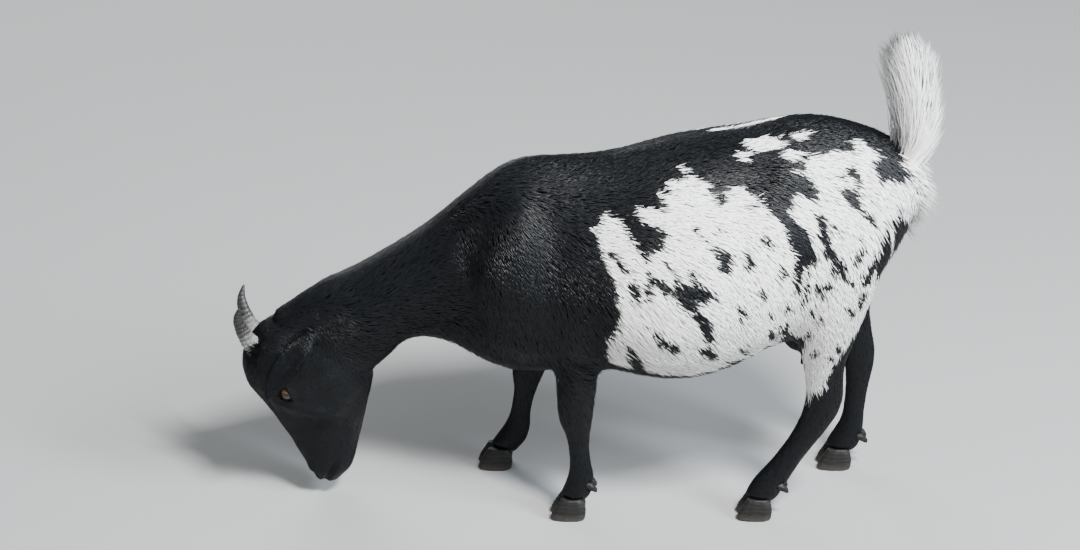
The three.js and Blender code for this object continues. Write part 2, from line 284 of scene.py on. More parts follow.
# %% The flesh as one body
FLESH = ["trunk", "neck", "head"]
FLESH += [f"leg_{end}_{side}" for end in ("fore", "hind") for side in SIDES]
EARS = [f"ear_{side}" for side in SIDES]
CLOSING = 0.7 * MM  # swells the nodes over the cuts between them
margin = np.full(3, 18 * MM)
body_low, body_high = np.array(CAD_BOX[0]) - margin, np.array(CAD_BOX[1]) + margin
head_low, head_high = np.array([-0.462, -0.095, -0.03]), np.array([-0.250, 0.095, 0.285])


def hull_of(names, low, high, spacing, level):
    """One closed surface round some nodes."""
    return surface(field_of(names, low, high, spacing, 4 * spacing), level)


def measured(hull, low, high, spacing, reach, level):
    """A closed surface measured again, so that the cuts inside it are forgotten."""
    shape = tuple(int(n) for n in np.ceil((high - low) / spacing) + 1)
    return Field(low, spacing, distances(hull[0], low, shape, spacing, reach, quads=hull[1]) + level)


hull = hull_of(FLESH, body_low, body_high, 3.0 * MM, CLOSING)
body = blurred(measured(hull, body_low, body_high, 3.0 * MM, 18 * MM, CLOSING), 3.2 * MM)
broad = blurred(measured(hull, body_low, body_high, 4.6 * MM, 42 * MM, CLOSING), 11 * MM)
hull = hull_of(FLESH, head_low - margin, head_high + margin, 1.5 * MM, CLOSING)
head_form = blurred(measured(hull, head_low, head_high, 1.5 * MM, 14 * MM, CLOSING), 2.6 * MM)
ear_form = blurred(field_of(EARS, head_low, head_high, 1.2 * MM, 12 * MM), 0.8 * MM)
print("fields of", body.values.shape, broad.values.shape, head_form.values.shape, "points")

# %% [markdown]
# ## How the coat lies
# Hair on a goat changes from place to place: fine and flat on the nose, longer on the rump, pointing back
# along the neck and down the legs. A short table of guide places is easier to tune than a painted map: each
# row says what the hair is like there, and a point in between takes the mix of its nearest rows. The solids
# already reach to the tips, so the table also says how far under them the skin lies.

# %% Guides of the coat
# place (x, distance from the middle, z), reach, depth, length, width, lift, lie (x, outwards, z), all in mm
GUIDES = [
    ((-350, 0, 60), 30, 1.0, 4.5, 0.80, 0.8, (0.25, 0.0, -1.0)),  # nose
    ((-325, 28, 50), 26, 1.0, 4.2, 0.80, 0.8, (0.35, 0.1, -0.95)),  # lips
    ((-305, 0, 60), 22, 1.8, 8.5, 1.00, 1.3, (0.4, 0.0, -0.9)),  # chin
    ((-320, 48, 150), 32, 1.6, 6.5, 1.00, 0.8, (0.6, 0.05, -0.83)),  # cheek
    ((-282, 30, 130), 26, 2.4, 10.0, 1.20, 1.0, (0.75, 0.0, -0.6)),  # jaw
    ((-374, 50, 165), 18, 1.0, 4.0, 0.75, 0.7, (0.45, 0.1, -0.85)),  # round the eyes
    ((-420, 0, 195), 28, 1.8, 7.0, 1.00, 0.9, (0.15, 0.0, -1.0)),  # forehead
    ((-408, 0, 226), 14, 1.8, 9.0, 1.10, 1.0, (-0.35, 0.0, -0.94)),  # forelock
    ((-380, 0, 256), 24, 3.0, 11.0, 1.40, 0.8, (0.72, 0.0, 0.69)),  # crown
    ((-408, 18, 206), 13, 1.0, 7.0, 0.85, 0.9, (-0.55, 0.10, 0.83)),  # foot of the horn
    ((-380, 34, 234), 17, 2.0, 8.0, 1.10, 0.9, (0.80, 0.38, -0.30)),  # between horn and ear
    ((-352, 36, 252), 13, 2.2, 8.0, 1.10, 0.9, (0.10, 0.95, 0.20)),  # top of the ear's root
    ((-368, 60, 205), 24, 1.0, 5.5, 0.80, 0.8, (-0.62, 0.36, -0.66)),  # ears
    ((-316, 58, 256), 20, 3.4, 12.0, 1.40, 0.8, (0.86, 0.10, -0.50)),  # side of the nape
    ((-338, 50, 228), 17, 2.2, 8.5, 1.10, 0.9, (0.20, 0.30, -0.93)),  # behind the ear
    ((-262, 10, 190), 28, 4.0, 14.0, 1.60, 1.0, (0.8, 0.0, -0.5)),  # throat
    ((-262, 0, 335), 50, 4.5, 15.0, 1.70, 1.0, (0.8, 0.0, 0.6)),  # crest of the neck
    ((-225, 62, 295), 50, 4.8, 15.0, 1.70, 0.9, (0.9, 0.0, 0.3)),  # side of the neck
    ((-225, 20, 228), 40, 5.2, 17.0, 1.80, 1.0, (0.95, 0.0, -0.1)),  # under the neck
    ((-90, 0, 460), 55, 5.4, 17.0, 1.90, 0.9, (1.0, 0.0, 0.0)),  # withers
    ((60, 0, 468), 90, 5.6, 18.0, 1.90, 0.9, (1.0, 0.0, 0.0)),  # back
    ((220, 0, 508), 80, 5.6, 18.0, 1.90, 0.9, (1.0, 0.0, -0.05)),  # loin
    ((-90, 100, 385), 60, 5.0, 14.5, 1.80, 0.9, (0.6, 0.05, -0.75)),  # shoulder
    ((-60, 115, 290), 55, 4.6, 12.5, 1.70, 0.9, (0.35, 0.0, -0.93)),  # upper arm
    ((-150, 30, 215), 45, 5.4, 18.0, 1.90, 1.1, (0.7, 0.0, -0.65)),  # brisket
    ((60, 120, 405), 80, 5.5, 18.0, 1.90, 0.9, (0.92, 0.02, -0.4)),  # upper ribs
    ((60, 158, 300), 80, 5.8, 19.0, 1.95, 0.9, (0.72, 0.0, -0.68)),  # ribs
    ((200, 150, 320), 70, 5.8, 18.0, 1.95, 0.9, (0.6, 0.0, -0.78)),  # flank
    ((60, 60, 195), 80, 6.2, 22.0, 2.00, 1.1, (0.92, 0.0, -0.35)),  # belly
    ((190, 60, 215), 50, 5.8, 20.0, 2.00, 1.1, (0.92, 0.0, -0.3)),  # belly before the udder
    ((250, 95, 470), 60, 5.6, 18.0, 1.90, 0.9, (0.85, 0.0, -0.5)),  # hip
    ((310, 125, 340), 65, 5.2, 16.0, 1.85, 0.9, (0.4, 0.0, -0.92)),  # thigh
    ((240, 130, 295), 40, 5.2, 16.0, 1.85, 0.9, (0.3, 0.0, -0.97)),  # front of the thigh
    ((382, 60, 420), 50, 6.4, 25.0, 2.10, 1.2, (0.45, 0.0, -0.9)),  # rump
    ((402, 20, 385), 35, 5.8, 20.0, 1.90, 1.1, (0.1, 0.0, -1.0)),  # between the buttocks
    ((286, 0, 232), 34, 1.0, 5.0, 0.90, 0.7, (0.2, 0.0, -1.0)),  # udder
    ((290, 40, 250), 42, 2.8, 9.0, 1.40, 0.8, (0.1, 0.0, -1.0)),  # inside of the thigh
    ((300, 95, 215), 48, 4.0, 12.0, 1.60, 0.9, (0.12, 0.0, -1.0)),  # gaskin
]
for foot_x in (-115, -20, 215, 325):
    GUIDES.append(((foot_x, 70, 140), 42, 2.4, 8.5, 1.15, 0.8, (0.1, 0.0, -1.0)))  # cannon
    GUIDES.append(((foot_x, 70, 60), 34, 1.5, 6.5, 0.95, 0.9, (0.05, 0.0, -1.0)))  # pastern

# %% Reading the guides
GUIDE_PLACES = np.array([row[0] for row in GUIDES], np.float32)
GUIDE_REACH = np.array([row[1] for row in GUIDES], np.float32)
GUIDE_VALUES = np.array([(*row[2:6], *unit(row[6])) for row in GUIDES], np.float32)


def coat_at(points):
    """Depth, length, width, lift (mm) and lie of the hair at points in metres."""
    flat = points.astype(np.float32) * 1000.0
    side = np.sign(flat[:, 1])
    flat[:, 1] = np.abs(flat[:, 1])
    squared = (flat**2).sum(1)[:, None] - 2.0 * flat @ GUIDE_PLACES.T + (GUIDE_PLACES**2).sum(1)
    weights = np.exp(-1.3 * squared / GUIDE_REACH**2) + 1e-9 / (squared + 1.0)
    values = (weights / weights.sum(1, keepdims=True)) @ GUIDE_VALUES
    values[:, 5] *= side
    return values[:, :4], values[:, 4:]


print(len(GUIDES), "guides, hair", GUIDE_VALUES[:, 1].min(), "to", GUIDE_VALUES[:, 1].max(), "mm long")

# %% [markdown]
# ## The skin's form
# The blurred fields alone would look like a soft toy. A living goat shows the bones under the hide: brow,
# cheek muscle, point of the shoulder, elbow, hip and pin bones, stifle, hock, and the hollow before the
# hip. Each is a soft swell or hollow added to the distance, so it melts into the rest and can never leave a
# seam.

# %% Swells and hollows
# centre (x, distance from the middle, z), reach along x, y, z, height; a hollow has a height below zero
SWELLS = [
    ((-390, 37, 183), (12, 10, 7), 6.5),  # brow over the eye
    ((-366, 49, 143), (12, 9, 5), 4.5),  # bone under the eye
    ((-338, 46, 134), (20, 9, 6), 5.0),  # ridge of the cheek bone
    ((-300, 46, 160), (16, 12, 28), 4.5),  # chewing muscle
    ((-350, 34, 106), (14, 10, 16), -7.5),  # hollow before the cheek
    ((-314, 34, 92), (12, 10, 14), -4.5),  # hollow behind the mouth
    ((-400, 28, 150), (10, 8, 22), -3.5),  # hollow inside the eye
    ((-346, 52, 178), (10, 8, 12), -2.5),  # hollow behind the eye
    ((-414, 0, 192), (12, 12, 16), 2.5),  # forehead
    ((-388, 0, 246), (12, 16, 12), 5.5),  # poll behind the horns
    ((-362, 0, 262), (20, 20, 14), 6.5),  # crown
    ((-328, 0, 286), (24, 22, 16), 7.0),  # nape
    ((-370, 0, 68), (12, 8, 30), 2.5),  # bridge of the nose
    ((-380, 15, 118), (7, 5, 30), 2.4),  # side edge of the nose bone
    ((-396, 17, 220), (11, 10, 9), 3.0),  # root of the horn
    ((-349, 18, 40), (5, 5, 8), 4.0),  # wing of the nostril
    ((-344, 14, 20), (8, 10, 6), 3.0),  # upper lip
    ((-316, 12, 22), (8, 9, 6), 3.0),  # lower lip
    ((-306, 8, 44), (7, 9, 10), 2.5),  # chin
    ((-334, 30, 60), (10, 7, 10), 1.8),  # pad of the upper lip
    ((-296, 24, 116), (22, 8, 12), 2.0),  # jaw
    ((-110, 0, 458), (40, 14, 14), 2.0),  # withers
    ((-125, 88, 330), (22, 20, 22), 5.0),  # point of the shoulder
    ((-75, 98, 400), (8, 16, 46), 2.5),  # ridge of the shoulder blade
    ((-40, 105, 385), (16, 16, 40), -2.5),  # hollow behind it
    ((-20, 118, 250), (16, 16, 16), 4.0),  # elbow
    ((8, 118, 285), (14, 16, 40), -3.5),  # hollow behind the elbow
    ((185, 96, 452), (34, 24, 18), -5.0),  # hollow of the flank before the hip
    ((236, 96, 478), (18, 18, 13), 4.5),  # hip bone
    ((390, 42, 432), (14, 13, 15), 4.0),  # pin bone
    ((60, 0, 472), (150, 9, 12), 1.8),  # backbone
    ((262, 0, 515), (60, 9, 12), 1.6),  # backbone over the hips
    ((222, 132, 268), (16, 16, 18), 4.0),  # stifle
    ((322, 128, 290), (18, 16, 44), -2.0),  # groove behind the thigh muscle
    ((282, 128, 380), (34, 18, 44), 2.0),  # thigh muscle
]
SWELL_CENTRES = np.array([row[0] for row in SWELLS], np.float32)
SWELL_REACHES = np.array([row[1] for row in SWELLS], np.float32)
SWELL_HEIGHTS = np.array([row[2] for row in SWELLS], np.float32)

# creases: points (x, distance from the middle, z), half width, depth
MOUTH = [(-335, 0, 12), (-333, 14, 21), (-327, 24, 34), (-318, 30, 50), (-309, 33, 64)]
MOUTH_HALF = 2.1
CREASES = [
    (MOUTH, MOUTH_HALF, 7.0),
    ([(-392, 34, 174), (-380, 45, 179), (-366, 45, 172)], 1.2, 1.6),  # fold over the upper lid
    ([(-382, 44, 148), (-368, 48, 151), (-360, 46, 160)], 1.2, 1.0),  # fold under the lower lid
    ([(-357, 2, 42), (-354, 0, 20)], 1.0, 1.2),  # groove under the nose
    ([(-24, 112, 232), (-8, 96, 222), (4, 78, 214)], 4.0, 4.0),  # fold of the elbow
    ([(196, 118, 300), (212, 104, 262), (226, 80, 240)], 5.0, 4.0),  # fold of the flank
    ([(404, 0, 440), (408, 0, 400), (396, 0, 345), (372, 0, 310)], 7.0, 7.0),  # between the buttocks
    ([(-150, 74, 352), (-140, 84, 310), (-140, 80, 270)], 7.0, 2.5),  # neck against shoulder
]


# %% Creases and relief
def segment_distance(points, start, end):
    """Distance from points to a straight piece of line, and how far along it they lie."""
    start, end = np.asarray(start, np.float64), np.asarray(end, np.float64)
    along = end - start
    t = np.clip((points - start) @ along / (along @ along), 0.0, 1.0)
    return np.linalg.norm(points - start - t[:, None] * along, axis=1), t


def line_gap(points, line):
    """Distance from points to a line of straight pieces."""
    return np.min([segment_distance(points, a, b)[0] for a, b in zip(line, line[1:])], axis=0)


def relief(points):
    """Height that bones, muscles and creases add to the form at points, in metres."""
    flat = folded(points.astype(np.float32))
    height = np.zeros(len(flat), np.float32)
    for centre, reach, swell in zip(SWELL_CENTRES, SWELL_REACHES, SWELL_HEIGHTS):
        height += swell * np.exp(-0.5 * (((flat - centre) / reach) ** 2).sum(1))
    for line, half_width, depth in CREASES:
        line = np.asarray(line, np.float32)
        margin = 4.0 * half_width
        near = ((flat > line.min(0) - margin) & (flat < line.max(0) + margin)).all(1)
        if near.any():
            height[near] -= depth * np.exp(-0.5 * (line_gap(flat[near], line) / half_width) ** 2)
    return height * MM


print(len(SWELLS), "swells and", len(CREASES), "creases on each side")

# %% [markdown]
# ## Eyes, lids and nostrils
# A goat's eye sits on the side of the head and looks outwards, so that it sees almost all round. The lids
# are skin stretched over the ball: a slightly larger ball joined to the face, with an almond cut into it
# that stops just inside the eyeball. What shows in the opening is then the real ball, set as deep as a real
# eye.

# %% Lids and nostrils
EYE_RADIUS = 12.5 * MM
LID_RADIUS = 14.4 * MM
LID_REACH = 19 * MM
OPENING_HALF = (10.4 * MM, 6.0 * MM)  # half length and half height of the almond
BALL_SHOWN = 11.4 * MM  # the almond is cut down to this radius, just inside the eyeball
TEAR_DROOP = 1.4 * MM


def middle(name):
    low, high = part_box(name)
    return np.array((low + high) / 2.0)


def eye_axes(side):
    """Outward, lengthwise and upward directions of an eye; lengthwise points to the inner corner."""
    outward = unit((-0.36, 0.93 * side, -0.05))
    length = np.array((0.42, 0.0, -0.90))
    length = unit(length - (length @ outward) * outward)
    upward = np.cross(length, outward) * side
    return outward, length, upward * (1.0 if upward[0] < 0 else -1.0)


def almond(share):
    """Half height of the opening at places from -1 to 1 along it."""
    return OPENING_HALF[1] * (1.0 - np.clip(np.abs(share), 0.0, 1.0) ** 2.2)


def droop(share):
    """How far the opening sags there, most at the inner corner."""
    return TEAR_DROOP * np.clip(share, -0.6, 1.3) ** 2


EYES = {side: (middle(f"eye_{side}"), *eye_axes(sign)) for side, sign in SIDES.items()}
NOSTRIL = [(-354.0, 7.0, 43.0), (-350.5, 13.0, 36.0), (-344.0, 17.5, 30.0)]
NOSTRIL_HALF, NOSTRIL_DEPTH = 2.5, 11.0


def smooth_union(a, b, softness):
    """The smaller of two distances with the corner between them rounded."""
    h = np.clip(0.5 + 0.5 * (b - a) / softness, 0.0, 1.0)
    return b + (a - b) * h - softness * h * (1.0 - h)


def add_face_openings(points, form):
    """Lids with their almond openings, and the nostrils, worked into the form."""
    for centre, outward, length, upward in EYES.values():
        offset = points - centre
        radius = np.linalg.norm(offset, axis=1)
        near = np.nonzero(radius < LID_REACH + 6 * MM)[0]
        if not len(near):
            continue
        offset, radius = offset[near], radius[near]
        out, u, v = offset @ outward, offset @ length, offset @ upward
        lid = radius - LID_RADIUS + 5 * MM * smoothstep(2 * MM, -6 * MM, out)
        shape = smooth_union(form[near], lid, 4 * MM)
        share = u / OPENING_HALF[0]
        v = v + droop(share)
        edge = np.maximum(np.abs(v) - almond(share), np.abs(u) - OPENING_HALF[0]) * 0.8
        cut = np.maximum(np.maximum(edge, BALL_SHOWN - radius), -out)
        form[near] = -smooth_union(-shape, cut, 1.0 * MM)
    flat = folded(points)
    near = np.nonzero((flat[:, 0] < -338) & (flat[:, 2] < 55) & (flat[:, 1] < 30))[0]
    if len(near):
        gap = line_gap(flat[near], NOSTRIL)
        form[near] += NOSTRIL_DEPTH * MM * np.exp(-0.5 * (gap / NOSTRIL_HALF) ** 2)
    return form


print("eyes at", [tuple(np.round(e[0], 3)) for e in EYES.values()])

# %% [markdown]
# ## The whole form
# One function now answers, for any place, how far it lies outside the goat's skin. Trunk and nape take the
# widest blur, the head its finer grid, and the ears a sharp one of their own, because a blur would eat such
# thin leaves. Feet of the horns, tail bone and teats are round lines that melt into the flesh beside them.


# %% Form of the skin
def inside(points, low, high, edge_low, edge_high):
    """1 well inside a box and 0 at its sides."""
    depth = np.minimum(points - low, high - points).min(1)
    return smoothstep(edge_low, edge_high, depth)


HORN_ROOT = [(-397, 14, 186), (-411, 18, 207)]
HORN_ROOT_RADII = (13.5, 11.5)
NAPE_PLANE = (0.562, 0.0, 0.828, 0.0118)  # where head and neck meet, smoothed more than the rest
DOCK = [(388, 0, 430), (400, 0, 482), (401, 0, 530), (393, 0, 580)]
DOCK_RADII = (13.0, 4.5)
TEATS = [(278, 15, 212), (274, 17, 190)]
TEAT_RADII = (5.0, 3.4)
# flesh added to the form: line, radii at its ends, softness of the join, limits of x and z, all in mm
ADDED = [
    (HORN_ROOT, HORN_ROOT_RADII, 5, (-999, -370), (165, 225)),
    (DOCK, DOCK_RADII, 9, (360, 999), (410, 999)),
    (TEATS, TEAT_RADII, 5, (256, 296), (180, 230)),
]
EAR_MIDDLE = (-372.0, 60.0, 207.0)
EAR_OUT = unit((-0.36, 0.72, 0.42))
EAR_CUP_DEPTH = 1.2  # how far the ear's inner face is hollowed
EAR_CUP_REACH = 17.0
# where each share climbs from 0 to 1: the broad field upwards and backwards, the head inwards from its grid
BROAD_UP, BROAD_BACK = (0.22, 0.29), (-0.33, -0.26)
HEAD_INWARDS = (6 * MM, 38 * MM)
NAPE_BAND = 20 * MM
print(len(ADDED), "round lines join the flesh")


def tapered(flat, line, radii):
    """Distance in mm to a round line that narrows from its first to its last point."""
    found = []
    for index, (start, end) in enumerate(zip(line, line[1:])):
        gap, t = segment_distance(flat, start, end)
        found.append(gap - radii[0] - (radii[1] - radii[0]) * (index + t) / (len(line) - 1))
    return np.min(found, axis=0)


def form_at(points):
    """The skin's distance at points in metres, negative inside the goat."""
    form = body.at(points)
    broad_share = smoothstep(*BROAD_UP, points[:, 2]) * smoothstep(*BROAD_BACK, points[:, 0])
    form += broad_share * (broad.at(points) - form)
    head_share = inside(points, head_low, head_high, *HEAD_INWARDS)
    form += head_share * (head_form.at(points) - form)
    nape = points @ NAPE_PLANE[:3] - NAPE_PLANE[3]
    nape_share = 0.92 * np.exp(-((nape / NAPE_BAND) ** 2)) * smoothstep(-0.388, -0.368, points[:, 0])
    nape_share *= smoothstep(-0.20, -0.24, points[:, 0])
    form += nape_share * (broad.at(points) - form)
    form += coat_at(points)[0][:, 0] * MM - relief(points)
    near = np.nonzero(head_share > 0.0)[0]
    if len(near):
        ear = ear_form.at(points[near]) + 0.2 * MM
        offset = np.abs(points[near]) * (-1000.0, 1000.0, 1000.0) - EAR_MIDDLE
        facing = smoothstep(0.5, -1.5, offset @ EAR_OUT)
        ear += EAR_CUP_DEPTH * MM * facing * np.exp(-0.5 * ((offset**2).sum(1)) / EAR_CUP_REACH**2)
        form[near] = smooth_union(form[near], ear, 4 * MM)
    flat = folded(points)
    x, z = flat[:, 0], flat[:, 2]
    for line, radii, softness, across, upright in ADDED:
        near = np.nonzero((x > across[0]) & (x < across[1]) & (z > upright[0]) & (z < upright[1]))[0]
        form[near] = smooth_union(form[near], tapered(flat[near], line, radii) * MM, softness * MM)
    return add_face_openings(points, form)


# %% Skin surface
SKIN_SPACING = 2.2 * MM
SKIN_BODY_TRIANGLES = 82000
THIN_PARTS = [  # lowest and highest corners of the boxes round the dock and the teats
    ((0.372, -0.022, 0.42), (0.42, 0.022, 0.6)),
    ((0.262, -0.03, 0.183), (0.29, 0.03, 0.227)),
]
grid_axes = [np.arange(lo, hi, SKIN_SPACING) for lo, hi in zip(body_low, body_high)]
rough = np.empty([len(axis) for axis in grid_axes], np.float32)
worked = 0
for index, x in enumerate(grid_axes[0]):
    sheet = np.stack(np.meshgrid([x], *grid_axes[1:], indexing="ij"), axis=-1).reshape(-1, 3)
    values = np.minimum(body.at(sheet), 12 * MM)
    box = inside(sheet, head_low, head_high, 0.0, 1 * MM) > 0
    values[box] = np.minimum(values[box], ear_form.at(sheet[box]))
    near = np.abs(values) < 11 * MM
    for box_low, box_high in THIN_PARTS:
        near |= ((sheet > box_low) & (sheet < box_high)).all(1)
    values[near] = form_at(sheet[near])
    worked += int(near.sum())
    rough[index] = values.reshape(rough.shape[1:])
skin_points, skin_quads = surface(Field(body_low, SKIN_SPACING, rough))
print("the first skin has", len(skin_quads), "faces from", worked, "grid points")

# %% [markdown]
# The grid gives far more faces than the flat flanks need, so a Decimate modifier thins them, held off the
# head by a vertex group, and the lids, nostrils and mouth are cut finer. Then every vertex relaxes towards
# its neighbours, for even faces, and slides along the slope of the form until it lies on it exactly.


# %% A finer face
def face_mask(points, grow):
    """Which points lie near the eyes, nostrils and mouth."""
    near = np.zeros(len(points), bool)
    for centre, *_ in EYES.values():
        near |= np.linalg.norm(points - centre, axis=1) < grow
    near |= (points[:, 0] < -0.295) & (points[:, 2] < 0.058)
    near |= (points[:, 0] < -0.33) & (ear_form.at(points) < 2 * MM)
    return near


def refine(mesh, chosen):
    """Cut all edges whose two ends are chosen in half."""
    bm = bmesh.new()
    bm.from_mesh(mesh)
    edges = [e for e in bm.edges if chosen[e.verts[0].index] and chosen[e.verts[1].index]]
    bmesh.ops.subdivide_edges(bm, edges=edges, cuts=1, use_grid_fill=True)
    bmesh.ops.triangulate(bm, faces=[f for f in bm.faces if len(f.verts) > 4])
    bm.to_mesh(mesh)
    bm.free()


def settle(points, edges, steps, form, share=0.5, slide=4 * MM):
    """Relax points along their edges and put them back on the form."""
    counts = np.bincount(edges.ravel(), minlength=len(points))[:, None]
    for _ in range(steps):
        total = np.zeros_like(points)
        for axis in range(3):
            total[:, axis] += np.bincount(edges[:, 0], points[edges[:, 1], axis], len(points))
            total[:, axis] += np.bincount(edges[:, 1], points[edges[:, 0], axis], len(points))
        points = points + share * (total / np.maximum(counts, 1) - points)
        points = project(points, form, slide)
    return points


def slope(points, form, step=0.5 * MM):
    """The direction in which a form grows, by small differences."""
    value = form(points)
    sides = [form(points + step * np.eye(3)[axis]) - value for axis in range(3)]
    return value, np.stack(sides, axis=1) / step


def project(points, form, slide):
    value, gradient = slope(points, form)
    length = np.maximum(np.linalg.norm(gradient, axis=1), 0.35)
    move = np.clip(value / length, -slide, slide)
    return points - (move / length)[:, None] * gradient


# %% Thinning
def thinned(mesh, keep, count):
    """A copy of a mesh with its faces outside keep thinned to about count triangles."""
    worker = bpy.data.objects.new("thinning", mesh)
    bpy.context.scene.collection.objects.link(worker)
    group = worker.vertex_groups.new(name="thin")
    group.add([int(i) for i in np.nonzero(~keep)[0]], 1.0, "REPLACE")
    mesh.calc_loop_triangles()
    triangles = read(mesh.loop_triangles, "vertices", 3, np.int32)
    free = int((~keep[triangles]).all(1).sum())
    thin = worker.modifiers.new("thin", "DECIMATE")
    thin.vertex_group = group.name
    thin.ratio = (len(triangles) - free + count) / len(triangles)
    result = bpy.data.meshes.new_from_object(worker.evaluated_get(bpy.context.evaluated_depsgraph_get()))
    bpy.data.objects.remove(worker)
    return result


# %% The skin's mesh
FINE_NEAR_EYES = 21 * MM
skin_mesh = bpy.data.meshes.new("skin")
skin_mesh.from_pydata(skin_points, [], skin_quads)
co = read(skin_mesh.vertices, "co", 3)
skin_mesh = thinned(skin_mesh, (co[:, 0] < -0.262) & (co[:, 2] < 0.28), SKIN_BODY_TRIANGLES)
co = read(skin_mesh.vertices, "co", 3)
refine(skin_mesh, face_mask(co, FINE_NEAR_EYES))
co = read(skin_mesh.vertices, "co", 3)
skin_edges = read(skin_mesh.edges, "vertices", 2, np.int32)
co = settle(co.astype(np.float64), skin_edges, 3, form_at)
co = project(co, form_at, 2 * MM)
reshape(skin_mesh, co)
skin_mesh.update()
print("skin:", len(skin_mesh.polygons), "faces; furthest from its form", float(np.abs(form_at(co)).max()))


# %% [markdown]
# ## The pattern of the coat
# The goat is black with a broken white field on its flank and another over the hip and thigh. Such a
# pattern is often painted on an image, but skin and thousands of tufts have to agree on it, so it is a
# function of place, in coordinates that lie on the hide: how far along the body, and how far down from the
# backbone. Polygons give the large fields and short strokes the spots and streaks. A little noise,
# stretched along the lie of the hair, frays every border the way hair does.

# %% Hide map
BACK_HEIGHT = 360.0  # the height, in mm, of the axis that "down" is measured round
DOWN_SCALE = 150.0


def hide_place(points):
    """Millimetres along the body and down from the backbone."""
    along = points[:, 0] * 1000.0
    down = DOWN_SCALE * np.arctan2(np.abs(points[:, 1] * 1000.0), points[:, 2] * 1000.0 - BACK_HEIGHT)
    return np.stack([along, down], axis=1)


FLANK = [
    (0, 163), (5, 158), (11, 147), (16, 135), (25, 147), (35, 160), (38, 175), (47, 185), (53, 197),
    (60, 210), (64, 209), (67, 202), (73, 198), (80, 193), (87, 183), (87, 173), (80, 163), (72, 162),
    (63, 160), (57, 153), (52, 143), (52, 130), (63, 135), (73, 140), (83, 143), (92, 142), (92, 137),
    (85, 127), (76, 117), (87, 117), (95, 116), (90, 108), (88, 102), (87, 95), (100, 93), (107, 91),
    (115, 88), (123, 90), (132, 98), (138, 108), (144, 117), (142, 126), (146, 136), (152, 142), (160, 135),
    (156, 124), (157, 118), (163, 110), (172, 107), (180, 107), (190, 117), (198, 127), (210, 140),
    (220, 150), (228, 162), (232, 175), (235, 187), (241, 197), (243, 212), (243, 230), (248, 250),
    (262, 275), (268, 320), (262, 340), (250, 341), (242, 334), (236, 342), (228, 352), (226, 372),
    (205, 372), (192, 362), (178, 352), (160, 358), (146, 364), (120, 365), (86, 364), (64, 362), (38, 366),
    (22, 360), (18, 350), (20, 333), (21, 317), (25, 307), (33, 295), (35, 283), (33, 270), (28, 255),
    (30, 242), (23, 233), (20, 225), (11, 210), (8, 193), (5, 180),
]
HIP = [
    (253, 70), (260, 67), (278, 63), (282, 55), (300, 53), (308, 56), (316, 54), (319, 48), (316, 40),
    (310, 37), (323, 32), (337, 33), (345, 43), (342, 50), (335, 53), (338, 63), (342, 73), (348, 82),
    (355, 78), (362, 72), (372, 75), (380, 72), (385, 63), (382, 53), (377, 42), (375, 25), (378, 8),
    (380, -20), (440, -20), (440, 60), (412, 92), (400, 100), (392, 120), (382, 132), (373, 133),
    (365, 138), (358, 145), (353, 160), (351, 180), (350, 192), (345, 205), (347, 222), (352, 250),
    (354, 280), (350, 310), (340, 330), (327, 340), (317, 360), (308, 372), (300, 382), (293, 397),
    (283, 407), (277, 416), (272, 400), (267, 375), (268, 340), (264, 300), (256, 262), (250, 250),
    (253, 232), (255, 215), (265, 214), (274, 212), (275, 205), (268, 190), (263, 177), (258, 167),
    (248, 160), (240, 150), (235, 140), (240, 127), (243, 117), (252, 115), (257, 123), (263, 125),
    (268, 120), (270, 107), (266, 100), (262, 95), (255, 92), (257, 80),
]
BACK_SPOTS = [
    [(184, 27), (195, 28), (210, 30), (223, 35), (230, 43), (227, 52), (213, 55), (200, 54), (188, 47),
     (183, 37)],
    [(172, 52), (182, 52), (193, 57), (188, 70), (178, 68), (175, 60)],
    [(226, 58), (240, 54), (253, 60), (245, 68), (234, 72), (228, 66)],
]
WHITE_FIELDS = {"left": [FLANK, HIP, *BACK_SPOTS]}

